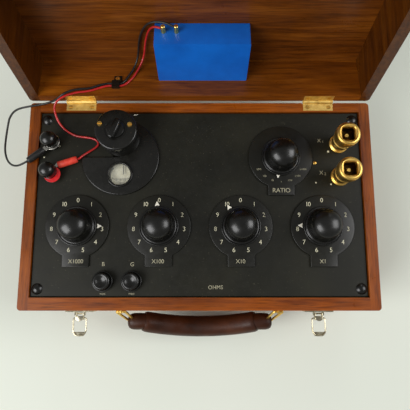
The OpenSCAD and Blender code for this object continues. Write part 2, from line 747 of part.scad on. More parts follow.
module brass_head(p) {
    top = brass_post_h - (brass_head_z - panel_top);
    floor_z = top - brass_recess;
    body_r = brass_head_r - 2.2;
    color([0.83, 0.65, 0.3]) translate([p[0], p[1], brass_head_z]) rotate_extrude() polygon([
        [stud_r + run_fit, 0], [body_r - 1, 0], [body_r, 1],
        [body_r, 5], [body_r - 1.2, 5.6], [body_r - 1.2, 6.6],
        [body_r, 7.2], [body_r, 11], [body_r - 1.2, 11.6], [body_r - 1.2, 12.6], [brass_head_r - 0.6, 13.6],
        [brass_head_r, 14.4], [brass_head_r, top - 0.8], [brass_head_r - 0.8, top], [brass_recess_r, top],
        [brass_recess_r, floor_z], [stud_r + run_fit, floor_z]]);
}

module post_head_rear() { black_head(black_posts[0]); }
module post_head_front() { black_head(black_posts[1]); }
module post_head_x1() { brass_head(brass_posts[0]); }
module post_head_x2() { brass_head(brass_posts[1]); }

// ---- keys ----

module key_collars() {
    color([0.05, 0.05, 0.05]) for (p = keys) translate([p[0], p[1], panel_top]) difference() {
        cylinder(h = key_collar_h, r = key_r + slip + 1.6);
        translate([0, 0, -1]) cylinder(h = key_collar_h + 2, r = key_r + slip);
    }
}

spring_r = 5.6;
spring_wall = 1;

module key_springs() {
    color([0.7, 0.7, 0.68]) for (p = keys) translate([p[0], p[1], panel_top]) difference() {
        cylinder(h = 7, r = spring_r);
        translate([0, 0, -1]) cylinder(h = 9, r = spring_r - spring_wall);
    }
}

module key_plunger(p) {
    color([0.8, 0.6, 0.3]) translate([p[0], p[1], 0]) {
        translate([0, 0, panel_bot - slip - 2]) cylinder(h = 2, r = plunger_r + 2.5);
        translate([0, 0, panel_bot - slip - touch])
            cylinder(h = key_top - 4 - panel_bot + slip, r = plunger_r);
    }
}

module key_button(p) {
    edge = [for (t = [0:15:90]) [key_r - 2 + 2 * cos(t), key_top - 2 + 2 * sin(t)]];
    color([0.05, 0.05, 0.05]) translate([p[0], p[1], 0]) rotate_extrude() polygon(concat(
        [[0, key_top - 3.6], [plunger_r, key_top - 3.6], [plunger_r, panel_top + 7.4],
            [spring_r + slip, panel_top + 7.4], [spring_r + slip, key_low], [key_r, key_low]],
        edge, [[key_r - 3, key_top], [key_r - 5, key_top - 0.8], [0, key_top - 1]]));
}

module key_plunger_b() { key_plunger(keys[0]); }
module key_plunger_g() { key_plunger(keys[1]); }
module key_button_b() { key_button(keys[0]); }
module key_button_g() { key_button(keys[1]); }

// ---- hinges and screws ----

module hinge_leaf(z, side) {
    half = hinge_w / 2 - knuckle_gap / 2;
    for (x = [-hinge_x, hinge_x]) translate([x, 0, 0]) difference() {
        union() {
            translate([-hinge_w / 2, leaf_front, z]) cube([hinge_w, case_d / 2 - leaf_front, leaf_t]);
            translate([side > 0 ? knuckle_gap / 2 : -hinge_w / 2, case_d / 2 - touch, z])
                cube([half, hinge_out + touch, leaf_t]);
            translate([side > 0 ? knuckle_gap / 2 : -hinge_w / 2, hinge_y, hinge_z])
                rotate([0, 90, 0]) cylinder(h = half, r = knuckle_r);
        }
        translate([side > 0 ? -hinge_w / 2 - 1 : -knuckle_gap / 2, hinge_y, hinge_z])
            rotate([0, 90, 0]) cylinder(h = half + knuckle_gap + 1, r = knuckle_r + slip);
        translate([-hinge_w / 2 - 1, hinge_y, hinge_z]) rotate([0, 90, 0])
            cylinder(h = hinge_w + 2, r = hinge_pin_r + run_fit, $fn = 32);
        for (s = [-hinge_screw_x, hinge_screw_x]) translate([s, leaf_front + hinge_screw_in, 0])
            if (z < case_h) translate([0, 0, z + leaf_t])
                screw_hole(hinge_screw_head, hinge_screw_shank, 2 * leaf_t + 2);
            else translate([0, 0, z]) mirror([0, 0, 1])
                screw_hole(hinge_screw_head, hinge_screw_shank, 2 * leaf_t + 2);
    }
}

module case_hinge_leaves() {
    color([0.86, 0.74, 0.38]) {
        hinge_leaf(case_h - leaf_t, -1);
        for (x = [-hinge_x, hinge_x]) translate([x - hinge_w / 2 - 0.4, hinge_y, hinge_z]) rotate([0, 90, 0])
            cylinder(h = hinge_w + 0.8, r = hinge_pin_r, $fn = 32);
    }
}

module brass_screws() {
    color([0.83, 0.65, 0.3]) {
        for (p = hinge_screws()) translate([p[0], p[1], case_h])
            slotted_screw(hinge_screw_head, hinge_screw_shank, hinge_screw_len);
        for (p = front_screws()) at_front(p)
            slotted_screw(front_screw_head, front_screw_shank, front_screw_len);
        for (p = turret_screws) translate([p[0] - galvo_x, p[1] + turret_y, panel_top + turret_h]) {
            difference() {
                cylinder(h = 1.6, r = 2.6, $fn = 32);
                translate([-3, -0.35, 0.8]) cube([6, 0.7, 2]);
            }
            translate([0, 0, -4.5]) cylinder(h = 4.5 + touch, r = 1.5, $fn = 24);
        }
    }
}

// ---- latches ----

ear_t = 1;
ear_x = lever_w / 2 + slip;
latch_pin_r = 0.9;

module latch_plates() {
    color([0.78, 0.75, 0.66]) for (l = [-latch_x, latch_x]) difference() {
        union() {
            translate([l - latch_plate_w / 2, -case_d / 2 - latch_plate_t, latch_plate_z])
                cube([latch_plate_w, latch_plate_t, latch_plate_h]);
            for (s = [-1, 1]) translate([l + s * (ear_x + ear_t / 2) - ear_t / 2, latch_y - 2, latch_z - 2])
                cube([ear_t, -case_d / 2 - latch_y + 2 - touch, 4]);
            translate([l - ear_x - ear_t, latch_y, latch_z]) rotate([0, 90, 0])
                cylinder(h = 2 * (ear_x + ear_t), r = latch_pin_r, $fn = 24);
        }
        for (s = [-latch_screw_x, latch_screw_x], z = [5, latch_plate_h - 5])
            at_front([l + s, latch_plate_z + z, latch_plate_t])
                screw_hole(front_screw_head, front_screw_shank, 3);
    }
}

cheek_t = 1.2;
lever_t = 1.2;

module latch_lever(l) {
    cheek_top = 1.9;
    cheek_r = 1.7;
    lever_leaf_y = 3.5;
    color([0.78, 0.75, 0.66]) translate([l, latch_y, latch_z]) difference() {
        union() {
            for (s = [-1, 1]) translate([s * (lever_w - cheek_t) / 2 - cheek_t / 2, 0, 0]) {
                translate([0, -lever_arm - 2, -cheek_r]) cube([cheek_t, lever_arm + 2, cheek_top + cheek_r]);
                rotate([0, 90, 0]) cylinder(h = cheek_t, r = cheek_r);
            }
            translate([0, -lever_leaf_y, cheek_top - touch]) intersection() {
                cylinder(h = lever_t, r = lever_w / 2);
                translate([-lever_w / 2, -lever_w / 2, 0]) cube([lever_w, lever_w / 2 + 1, lever_t]);
            }
        }
        for (y = [0, -lever_arm]) translate([-lever_w, y, 0]) rotate([0, 90, 0])
            cylinder(h = 2 * lever_w, r = (y == 0 ? latch_pin_r : bail_r) + run_fit, $fn = 24);
    }
}

nose_plate_t = 1.3;

// Straight piece of wire with a many-sided section, between two points in one level.
module flat_wire(a, b, r, more) {
    d = unit(b - a);
    translate((a + b) / 2) rotate([0, 0, atan2(d[1], d[0])]) rotate([0, 90, 0])
        cylinder(h = norm(b - a) + 2 * more, r = r, $fn = 12, center = true);
}

module latch_bail(l) {
    nose = 4.2;
    nose_back = bail_len - 3.6;
    pin_in = lever_w / 2 - cheek_t;
    half_w = bail_w / 2;
    color([0.8, 0.77, 0.66]) translate([l, latch_y - lever_arm, latch_z]) {
        for (s = [-1, 1]) {
            translate([s > 0 ? pin_in : -half_w, 0, 0]) rotate([0, 90, 0])
                cylinder(h = half_w - pin_in, r = bail_r, $fn = 24);
            flat_wire([s * half_w, 0.9, 0], [s * half_w, -bail_len + 4, 0], bail_r, 0.2);
            flat_wire([s * half_w, -bail_len + 4, 0], [s * nose, -bail_len, 0], bail_r, 0.2);
        }
        flat_wire([-nose, -bail_len, 0], [nose, -bail_len, 0], bail_r, 0.2);
        translate([0, 0, -nose_plate_t - bail_r + 0.2]) linear_extrude(nose_plate_t)
            polygon([[-half_w, -nose_back], [half_w, -nose_back], [nose + 0.2, -bail_len - 0.9],
                [-nose - 0.2, -bail_len - 0.9]]);
    }
}

module latch_lever_left() { latch_lever(-latch_x); }
module latch_lever_right() { latch_lever(latch_x); }
module latch_bail_left() { latch_bail(-latch_x); }
module latch_bail_right() { latch_bail(latch_x); }

// Height over the case's base of the bail's nose when the latch is shut.
hook_z = latch_z - lever_arm + bail_len;
nub_w = 7;
nub_out = bail_r - 0.2 - slip;           // leaves the bail's nose plate room to pass in front of it

module strike_plates() {
    strike_z = lid_z + 1;
    color([0.78, 0.75, 0.66]) opened() for (l = [-latch_x, latch_x]) {
        translate([l - 10, -case_d / 2 - latch_plate_t, strike_z]) cube([20, latch_plate_t, 16]);
        translate([l - nub_w / 2, latch_y - nub_out, strike_z])
            cube([nub_w, -case_d / 2 - latch_y + nub_out - latch_plate_t + touch,
                hook_z - bail_r - slip - strike_z]);
    }
}

// ---- handle ----

module handle_frame() {
    translate([0, handle_y, handle_z]) rotate([-handle_lean, 0, 0]) children();
}

module handle_staples() {
    lug_w = 2;
    lug_r = 2.7;
    plate_h = 12;
    color([0.83, 0.65, 0.3]) for (h = [-staple_x, staple_x]) difference() {
        union() {
            translate([h - staple_w / 2, -case_d / 2 - staple_t, handle_z - plate_h / 2])
                cube([staple_w, staple_t, plate_h]);
            translate([h - lug_w / 2, -case_d / 2 - touch, handle_z]) rotate([90, 0, 0])
                translate([0, -lug_r, 0]) cube([lug_w, 2 * lug_r, -case_d / 2 - handle_y]);
            translate([h - lug_w / 2, handle_y, handle_z]) rotate([0, 90, 0]) cylinder(h = lug_w, r = lug_r);
        }
        translate([h - staple_w, handle_y, handle_z]) rotate([0, 90, 0])
            cylinder(h = 2 * staple_w, r = wire_r + run_fit, $fn = 32);
        for (s = [-staple_screw_x, staple_screw_x]) at_front([h + s, handle_z, staple_t])
            screw_hole(front_screw_head, front_screw_shank, 3);
    }
}

// Leg of a wire loop, in the plane of the handle, with a many-sided section.
module loop_leg(a, b, r) {
    translate((a + b) / 2) rotate([0, atan2(b[0] - a[0], b[2] - a[2]), 0])
        cylinder(h = norm(b - a) + 1, r = r, $fn = 12, center = true);
}

grip_end_r = 10;
grip_end_in = 3;
grip_end_len = 22;
cross_x = grip_len / 2 + 13;

// The handle's two wire loops. more widens them, to cut the room for them in the leather.
module wire_loops(more) {
    bar = 8.5;
    pivot_bar = 13;
    for (s = [-1, 1]) {
        pivot = s * staple_x;
        cross = s * cross_x;
        translate([pivot - pivot_bar / 2, 0, 0]) rotate([0, 90, 0])
            cylinder(h = pivot_bar, r = wire_r + more, $fn = 32);
        translate([cross - bar / 2 - more, 0, -loop_reach]) rotate([0, 90, 0])
            cylinder(h = bar + 2 * more, r = wire_r + more, $fn = 32);
        for (k = [-1, 1])
            loop_leg([cross + k * (bar / 2 - wire_r), 0, -loop_reach],
                [pivot + k * (pivot_bar / 2 - wire_r), 0, 0], wire_r - 0.1 + more);
    }
}

module handle_loops() {
    color([0.83, 0.65, 0.3]) handle_frame() wire_loops(0);
}

// Round leather grip, bent a little, with a narrower end piece sewn round each loop.
module handle_grip() {
    color([0.26, 0.14, 0.08]) handle_frame() difference() {
        union() {
            translate([0, 0, -loop_reach - grip_arch + grip_arc_r]) rotate([90, 90, 0])
                rotate([0, 0, -grip_half]) rotate_extrude(angle = 2 * grip_half, $fn = 144)
                    translate([grip_arc_r, 0]) circle(grip_r, $fn = 32);
            for (s = [-1, 1]) translate([s * (grip_len / 2 - grip_end_in), 0, -loop_reach])
                rotate([0, s * 90, 0]) rotate_extrude() polygon([
                    [0, 0], [grip_end_r, 0], [grip_end_r, grip_end_len - 5],
                    [grip_end_r - 1.5, grip_end_len - 2], [grip_end_r - 4, grip_end_len], [0, grip_end_len]]);
        }
        wire_loops(run_fit);
    }
}

// ---- lid ----

module lid_walls() {
    color([0.42, 0.2, 0.08]) opened() difference() {
        translate([0, 0, lid_z]) rounded_plate(case_w, case_d, corner_r, lid_h - lid_board_t);
        translate([-inner_w / 2, inner_front, lid_z - 1])
            cube([inner_w, lid_in_rear - inner_front, lid_h]);
        leaf_seat(lid_z - touch);
        barrel_notch();
        for (p = hinge_screws()) translate([p[0], p[1], lid_z]) mirror([0, 0, 1])
            screw_hole(hinge_screw_head, hinge_screw_shank, hinge_screw_len);
    }
}

module lid_board() {
    color([0.42, 0.2, 0.08]) opened() translate([0, 0, lid_in_z])
        rounded_plate(case_w, case_d, corner_r, lid_board_t);
}

module lid_hinge_leaves() {
    color([0.86, 0.74, 0.38]) opened() hinge_leaf(lid_z, 1);
}

clip_t = 4.5;
clip_low = red_tail[0][2] - 3;
clip_high = black_tail[0][2] + 3;
clip_screw_z = clip_high + 3;

module lid_screws() {
    color([0.83, 0.65, 0.3]) opened() {
        for (p = hinge_screws()) translate([p[0], p[1], lid_z]) mirror([0, 0, 1])
            slotted_screw(hinge_screw_head, hinge_screw_shank, hinge_screw_len);
        translate([clip_x + 2, lid_in_rear - 1.5, clip_screw_z]) rotate([90, 0, 0]) difference() {
            cylinder(h = 2, r = 2.6, $fn = 32);
            translate([-3, -0.35, 1]) cube([6, 0.7, 2]);
        }
    }
}

module lead_clip() {
    color([0.06, 0.06, 0.06]) opened() difference() {
        union() {
            translate([clip_x - clip_w / 2, lid_in_rear - clip_t, clip_low])
                cube([clip_w, clip_t, clip_high - clip_low]);
            translate([clip_x - clip_w / 2 + 2, lid_in_rear - 1.5, clip_high - touch]) cube([clip_w, 1.5, 8]);
        }
        for (p = [red_tail[0], black_tail[0]]) translate([clip_x, p[1], p[2]]) rotate([0, 90, 0])
            cylinder(h = 20, r = wire_d / 2 + 0.2, center = true, $fn = 24);
    }
}

module battery() {
    color([0.05, 0.25, 0.62]) opened()
        translate([battery_x[0], battery_top, battery_z])
            cube([battery_x[1] - battery_x[0], battery_h, lid_in_z - battery_z]);
    color([0.83, 0.65, 0.3]) opened() for (x = battery_posts)
        translate([x, battery_top + touch, red_tail[len(red_tail) - 1][2]]) rotate([90, 0, 0])
            cylinder(h = 9, r = 2.5, $fn = 24);
}

// ---- leads ----

module lead_red() { color([0.75, 0.1, 0.12]) lead_tube(red_route, wire_d); }
module lead_black() { color([0.05, 0.05, 0.05]) lead_tube(black_route, wire_d); }
module lead_tails() {
    color([0.5, 0.1, 0.1]) lead_tube([for (p = red_tail) opened_point(p)], wire_d);
    color([0.05, 0.05, 0.05]) lead_tube([for (p = black_tail) opened_point(p)], wire_d);
}

fork_z = panel_top + collar_h + washer_t + 0.1;

// Fork that grips a stud from one side, with the sleeve that the lead leaves from.
module plug(post, spread, start, end, open_turn) {
    difference() {
        union() {
            translate([post[0] + spread[0], post[1] + spread[1], fork_z]) cylinder(h = fork_t, r = 8.5);
            translate([post[0], post[1], fork_z])
                rotate([0, 0, atan2(start[1] - post[1], start[0] - post[0])]) translate([0, -2.5, 0])
                    cube([norm([start[0] - post[0], start[1] - post[1]]) + 2, 5, fork_t]);
        }
        translate([post[0], post[1], fork_z - 1]) cylinder(h = fork_t + 2, r = stud_r + 0.2);
        translate([post[0], post[1], fork_z - 1]) rotate([0, 0, open_turn]) translate([0, -stud_r - 0.2, 0])
            cube([20, 2 * stud_r + 0.4, fork_t + 2]);
    }
    rod(start, end, sleeve_r);
}

module plug_red() {
    color([0.85, 0.16, 0.1]) plug(black_posts[1], [3.4, -3.6],
        [black_posts[1][0] + 9.2, black_posts[1][1] + 7.6, fork_z + fork_t / 2], red_route[0], 150);
}

module plug_black() {
    color([0.07, 0.07, 0.07]) plug(black_posts[0], [0.5, -0.5],
        [black_posts[0][0] - 8, black_posts[0][1] - 9.9, fork_z + fork_t / 2], black_route[0], 40);
}

case_walls();
case_bottom();
panel_battens();
instrument_panel();
dial_plates();
panel_screws();
galvanometer_cover();
galvanometer_turret();
window_glass();
scale_card();
galvanometer_magnet();
black_post_bases();
brass_post_bases();
switch_contacts();
resistance_bobbins();
spindle_bushes();
key_collars();
key_springs();
case_hinge_leaves();
brass_screws();
latch_plates();
handle_staples();
lead_red();
lead_black();
plug_red();
plug_black();
lid_walls();
lid_board();
lid_hinge_leaves();
lid_screws();
strike_plates();
battery();
lead_clip();
lead_tails();
knob_x1000();
knob_x100();
knob_x10();
knob_x1();
knob_ratio();
rotor_x1000();
rotor_x100();
rotor_x10();
rotor_x1();
rotor_ratio();
galvanometer_movement();
turret_knob();
key_plunger_b();
key_plunger_g();
key_button_b();
key_button_g();
post_head_rear();
post_head_front();
post_head_x1();
post_head_x2();
latch_lever_left();
latch_lever_right();
latch_bail_left();
latch_bail_right();
handle_grip();
handle_loops();
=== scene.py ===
# %% [markdown]
# # A bridge for measuring resistance, in its open case
# The solids of the instrument come from its CAD model, already in metres and in one
# shared frame: the origin is the centre of the case's underside, X runs to the right,
# Y to the hinges and Z up. This notebook loads them and dresses them: the leads first,
# then the woods, the black mouldings, the brass, the figures and at last the light.

# %% Load the frame
import math

import bpy
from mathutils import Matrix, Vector
from mathutils.geometry import tessellate_polygon


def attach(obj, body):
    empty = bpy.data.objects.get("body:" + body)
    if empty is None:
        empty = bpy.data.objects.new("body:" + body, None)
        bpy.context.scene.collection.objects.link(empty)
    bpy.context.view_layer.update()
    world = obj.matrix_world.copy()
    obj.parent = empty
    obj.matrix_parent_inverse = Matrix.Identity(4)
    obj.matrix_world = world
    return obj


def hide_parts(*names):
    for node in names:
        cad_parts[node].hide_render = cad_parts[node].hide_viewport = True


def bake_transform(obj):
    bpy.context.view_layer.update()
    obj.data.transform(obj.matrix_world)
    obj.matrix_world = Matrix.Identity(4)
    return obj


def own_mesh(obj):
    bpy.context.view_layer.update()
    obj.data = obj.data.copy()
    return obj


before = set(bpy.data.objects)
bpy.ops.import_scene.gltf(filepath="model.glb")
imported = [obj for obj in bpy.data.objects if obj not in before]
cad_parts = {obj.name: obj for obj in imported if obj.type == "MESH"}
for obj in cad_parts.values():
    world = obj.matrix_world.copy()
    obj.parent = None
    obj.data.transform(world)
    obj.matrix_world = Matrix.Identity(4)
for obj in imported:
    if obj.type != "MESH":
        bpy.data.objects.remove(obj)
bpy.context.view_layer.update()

SCENE = bpy.context.scene
MM = 0.001
print("nodes in the frame:", len(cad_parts))


# %% [markdown]
# ## The camera
# A camera sees the case from above its front edge, tilted a little towards the hinges.
# The lens and the place were found by fitting the four top corners of the case, so
# every piece modelled at its true size falls where a real one would be seen.

# %% Place the camera
LENS, SENSOR_WIDTH = 37.756, 36
CAMERA_PLACE, CAMERA_TILT = (0.00635, -0.08411, 0.58323), math.radians(9.567)
camera_data = bpy.data.cameras.new("camera")
camera_data.sensor_width = SENSOR_WIDTH
camera_data.lens = LENS
camera = bpy.data.objects.new("camera", camera_data)
camera.location = CAMERA_PLACE
camera.rotation_euler = (CAMERA_TILT, 0, 0)
SCENE.collection.objects.link(camera)
SCENE.camera = camera
SCENE.view_settings.view_transform = "Standard"
print("camera height in metres:", camera.location.z)


# %% [markdown]
# ## Tools for shapes
# Most pieces are turned on a lathe, bent from wire, stamped from plate or swept along
# a line. A few small helpers cover these. Each returns lists of points and faces in
# millimetres, which is easy to read against a drawing, and the first helper turns such
# lists into an object that follows its body.

# %% Add pieces and put shapes in place
def add_piece(name, shape, finish, body=None, replaces=(), smooth_angle=35):
    """Makes an object from a (points, faces) shape in millimetres and ties it to a body."""
    points, faces = shape
    mesh = bpy.data.meshes.new(name)
    mesh.from_pydata([[c * MM for c in p] for p in points], [], faces)
    mesh.validate()
    mesh.shade_smooth()
    mesh.set_sharp_from_angle(angle=math.radians(smooth_angle))
    mesh.materials.append(finish.material)
    piece = bpy.data.objects.new(name, mesh)
    SCENE.collection.objects.link(piece)
    if body:
        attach(piece, body)
    if replaces:
        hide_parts(*replaces)
    return piece


def join_shapes(*shapes):
    """Several shapes as one."""
    points, faces = [], []
    for p, f in shapes:
        start = len(points)
        points += p
        faces += [[i + start for i in face] for face in f]
    return points, faces


def placed(shape, move=(0, 0, 0), turn=0):
    """A shape turned about Z by an angle in degrees, then moved."""
    c, s = math.cos(math.radians(turn)), math.sin(math.radians(turn))
    points = [(x * c - y * s + move[0], x * s + y * c + move[1], z + move[2]) for x, y, z in shape[0]]
    return points, shape[1]


def on_circle(radius, degrees, centre=(0, 0)):
    """The point of a circle at an angle."""
    a = math.radians(degrees)
    return centre[0] + radius * math.cos(a), centre[1] + radius * math.sin(a)


print("pieces can be added")


# %% Turn on a lathe
ON_AXIS = 1e-6


def lathe(profile, sides=96):
    """Turns a closed (radius, height) profile, given anticlockwise from the axis, about Z."""
    points, faces, rings = [], [], []
    for r, z in profile:
        if r < ON_AXIS:
            rings.append([len(points)] * sides)
            points.append((0, 0, z))
        else:
            rings.append(list(range(len(points), len(points) + sides)))
            points += [(*on_circle(r, 360 * k / sides), z) for k in range(sides)]
    for a, b in zip(rings, rings[1:] + rings[:1]):
        for k in range(sides):
            j = (k + 1) % sides
            corner = []
            for i in (a[k], a[j], b[j], b[k]):
                if i not in corner:
                    corner.append(i)
            if len(corner) > 2:
                faces.append(corner)
    return points, faces


def arc(cx, cz, r, start, end, steps=8):
    """Points of a rounded corner in a profile, angles in degrees."""
    return [on_circle(r, start + (end - start) * k / steps, (cx, cz)) for k in range(steps + 1)]


print("the lathe is ready")


# %% Sweep along a path
def loft(loops, closed=False):
    """Joins rings of equal length, one after another, and caps the ends unless they close up."""
    n = len(loops[0])
    points = [p for loop in loops for p in loop]
    faces = []
    pairs = list(zip(range(len(loops) - 1), range(1, len(loops))))
    if closed:
        pairs.append((len(loops) - 1, 0))
    for a, b in pairs:
        for k in range(n):
            j = (k + 1) % n
            faces.append([a * n + k, a * n + j, b * n + j, b * n + k])
    if not closed:
        faces.append(list(range(n))[::-1])
        faces.append([(len(loops) - 1) * n + k for k in range(n)])
    return points, faces


def tube(path, radius, sides=16):
    """A round bar along a path. The radius may be one number or one for each point."""
    path = [Vector(p) for p in path]
    n = len(path)
    radii = radius if isinstance(radius, list) else [radius] * n
    loops, side = [], None
    for k in range(n):
        along = (path[min(k + 1, n - 1)] - path[max(k - 1, 0)]).normalized()
        if side is None:
            side = along.cross(Vector((0, 0, 1)) if abs(along.z) < 0.9 else Vector((1, 0, 0)))
        side = (side - along * side.dot(along)).normalized()
        up = along.cross(side)
        loops.append([tuple(path[k] + radii[k] * (math.cos(2 * math.pi * s / sides) * side
                                                  + math.sin(2 * math.pi * s / sides) * up))
                      for s in range(sides)])
    return loft(loops)


print("tubes can be swept")


# %% Cut plates
def plate(outline, low, high, edge=0.4, steps=3):
    """A flat plate cut to an outline of (x, y) points, with its upper edge rounded."""
    n = len(outline)
    if sum(a[0] * b[1] - b[0] * a[1] for a, b in zip(outline, outline[1:] + outline[:1])) < 0:
        outline = outline[::-1]

    def inset(d):
        ring = []
        for k in range(n):
            a, b, c = (Vector(outline[(k + i) % n]) for i in (-1, 0, 1))
            u, v = (b - a).normalized(), (c - b).normalized()
            m = Vector((-(u + v).y, (u + v).x))
            m = m.normalized() / max(0.5, m.normalized().dot(Vector((-u.y, u.x))))
            ring.append((b.x + m.x * d, b.y + m.y * d))
        return ring

    loops = [[(x, y, low) for x, y in outline]]
    for k in range(steps + 1):
        t = math.radians(90 * k / steps)
        loops.append([(x, y, high - edge * (1 - math.sin(t))) for x, y in inset(edge * (1 - math.cos(t)))])
    return loft(loops)


print("plates can be cut")


# %% [markdown]
# ## Tools for finishes
# Every finish is one Principled shader fed by noise, so it has no pictures and no
# seams. The coordinates are those of the object, which stay on the piece when it moves.
# Colours are written as a paint chart gives them, from 0 to 255, and turned linear here.

# %% Helpers that make finishes
def chart(r, g, b):
    """A colour from 0 to 255 a channel as the linear colour that the shader expects."""
    return tuple(((c / 255 + 0.055) / 1.055) ** 2.4 if c > 10 else c / 255 / 12.92 for c in (r, g, b)) + (1,)


class Finish:
    """One material with its node tree, and short ways to add nodes to it."""

    def __init__(self, name, color, rough=0.5, metal=0.0, **sockets):
        self.material = bpy.data.materials.new(name)
        self.material.use_nodes = True
        self.nodes = self.material.node_tree.nodes
        self.shader = self.nodes["Principled BSDF"]
        self.shader.inputs["Base Color"].default_value = chart(*color)
        self.shader.inputs["Roughness"].default_value = rough
        self.shader.inputs["Metallic"].default_value = metal
        for key, value in sockets.items():
            self.shader.inputs[key.replace("_", " ")].default_value = value
        self.place = self.nodes.new("ShaderNodeTexCoord").outputs["Object"]

    def link(self, output, target):
        self.material.node_tree.links.new(output, target)

    def to(self, output, socket):
        self.link(output, self.shader.inputs[socket])

    def stretched(self, x, y, z, place=None):
        node = self.nodes.new("ShaderNodeMapping")
        node.inputs["Scale"].default_value = (x, y, z)
        self.link(place or self.place, node.inputs["Vector"])
        return node.outputs["Vector"]

    def noise(self, scale, detail=4, rough=0.6, place=None, distort=0.0):
        node = self.nodes.new("ShaderNodeTexNoise")
        node.inputs["Scale"].default_value = scale
        node.inputs["Detail"].default_value = detail
        node.inputs["Roughness"].default_value = rough
        node.inputs["Distortion"].default_value = distort
        self.link(place or self.place, node.inputs["Vector"])
        return node.outputs["Fac"]

    def ramp(self, value, *stops):
        """Stops are (position, colour) or (position, number) pairs."""
        node = self.nodes.new("ShaderNodeValToRGB")
        bar = node.color_ramp.elements
        while len(bar) < len(stops):
            bar.new(0.5)
        for spot, (position, tone) in zip(bar, stops):
            spot.position = position
            spot.color = chart(*tone) if isinstance(tone, tuple) else (tone, tone, tone, 1)
        self.link(value, node.inputs["Fac"])
        return node.outputs["Color"]

    def mottle(self, scale, detail, *stops, rough=0.6):
        """Lets noise move the base colour between stops."""
        self.to(self.ramp(self.noise(scale, detail, rough), *stops), "Base Color")

    def mix(self, factor, a, b, way="MIX"):
        node = self.nodes.new("ShaderNodeMix")
        node.data_type, node.blend_type = "RGBA", way
        for value, socket in ((factor, node.inputs[0]), (a, node.inputs[6]), (b, node.inputs[7])):
            if isinstance(value, (int, float)):
                socket.default_value = value
            elif isinstance(value, tuple):
                socket.default_value = chart(*value)
            else:
                self.link(value, socket)
        return node.outputs[2]

    def math(self, kind, a, b=0.0):
        node = self.nodes.new("ShaderNodeMath")
        node.operation = kind
        self.link(a, node.inputs[0])
        node.inputs[1].default_value = b
        return node.outputs[0]

    def axis(self, name):
        node = self.nodes.new("ShaderNodeSeparateXYZ")
        self.link(self.place, node.inputs[0])
        return node.outputs[name]

    def bump(self, height, strength, depth):
        node = self.nodes.new("ShaderNodeBump")
        node.inputs["Strength"].default_value = strength
        node.inputs["Distance"].default_value = depth
        self.link(height, node.inputs["Height"])
        self.to(node.outputs["Normal"], "Normal")


def dress(finish, *nodes):
    """Gives solids of the frame a finish."""
    for name in nodes:
        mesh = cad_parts[name].data
        mesh.materials.clear()
        mesh.materials.append(finish.material)


print("finish tools ready")


# %% [markdown]
# ## The leads
# Two thin rubber leads run from the plugs to a clip at the lid and on to the battery.
# A simulation could lay them, but their real course is known, so they follow the rows
# of points of the CAD model. A curve through them gives the easy bends of rubber, and
# sixteen sides are round enough at this size. Each lead crosses the lid's hinge: the
# part laid in the case follows no body, and the tails laid in the lid go with the lid.

# %% Finishes of the leads
red_rubber = Finish("red rubber", (206, 44, 42), 0.3, Coat_Weight=0.15)
red_rubber.mottle(60, 3, (0.3, (164, 24, 26)), (0.7, (214, 46, 44)))
red_rubber.bump(red_rubber.noise(900, 2), 0.08, 0.0002)
red_sleeve = Finish("red sleeve", (226, 66, 50), 0.42)
red_sleeve.mottle(220, 3, (0.3, (205, 48, 38)), (0.72, (238, 84, 62)))
red_sleeve.bump(red_sleeve.noise(1200, 2), 0.1, 0.0002)
black_rubber = Finish("black rubber", (22, 22, 22), 0.4)
black_rubber.mottle(150, 3, (0.3, (14, 14, 14)), (0.75, (38, 37, 35)))
black_rubber.bump(black_rubber.noise(1400, 2), 0.15, 0.0002)
print("rubbers: 3")

# %% Lay the leads
LEAD_WIDTH = 2.36
RED_ROUTE = [
    (-141, 50.5, 103), (-138.6, 51.4, 102.9), (-134.5, 55.5, 101.6), (-129, 60, 99.6), (-122.5, 64.5, 99.2),
    (-118.5, 69, 99.2), (-120, 73.5, 99.2), (-125.5, 76.5, 99.2), (-134, 78, 99.2), (-144, 79.5, 99.2),
    (-153.5, 84, 99.2), (-161, 90, 99.6), (-166, 97, 102), (-168, 104, 106.5), (-168, 110, 111),
    (-165, 115, 114.5), (-159, 119.5, 116.3), (-151, 123.5, 116), (-142, 127, 114.2), (-133, 128.7, 113),
    (-125, 130.6, 112.3), (-116, 134.2, 111.2), (-109, 136.6, 110.5), (-103.5, 137.1, 110.3),
    (-98, 137.1, 110.3)]
BLACK_ROUTE = [
    (-196.8, 48, 105), (-203, 44.8, 104.2), (-210, 43, 102), (-218, 45, 97.5), (-226, 51, 91),
    (-232, 60, 85.5), (-235.5, 70, 81.5), (-236.5, 80, 79.5), (-236, 90, 79.5), (-234, 99, 82),
    (-230, 106, 87.5), (-222, 111, 95), (-212, 113, 100.8), (-200, 114.5, 103.3), (-188, 116.5, 103.6),
    (-176, 118, 106.5), (-166, 119.5, 112), (-157, 123.5, 117), (-148, 128, 117), (-139, 130.8, 115),
    (-128, 132.8, 113), (-117, 137.2, 111.4), (-109, 139.7, 110.2), (-103.5, 140.1, 109.6),
    (-98, 140.1, 109.6)]


def smooth_path(points, steps=4):
    """A curve through the given points, with a few more points between each two."""
    p = [Vector(q) for q in points]
    p = [2 * p[0] - p[1]] + p + [2 * p[-1] - p[-2]]
    out = []
    for k in range(1, len(p) - 2):
        for s in range(steps):
            t = s / steps
            out.append(0.5 * (2 * p[k] + (p[k + 1] - p[k - 1]) * t
                              + (2 * p[k - 1] - 5 * p[k] + 4 * p[k + 1] - p[k + 2]) * t * t
                              + (3 * p[k] - 3 * p[k + 1] + p[k + 2] - p[k - 1]) * t * t * t))
    return out + [p[-2]]


def path_length(path):
    return sum((b - a).length for a, b in zip(path, path[1:]))


def lay_lead(name, route, finish, body, node):
    """A wire from the far end of a route to its start."""
    path = smooth_path(route[::-1])
    wire = add_piece(name, tube(path, LEAD_WIDTH / 2), finish, body, [node], 60)
    print(name, "is", round(path_length(path)), "mm long")
    return wire


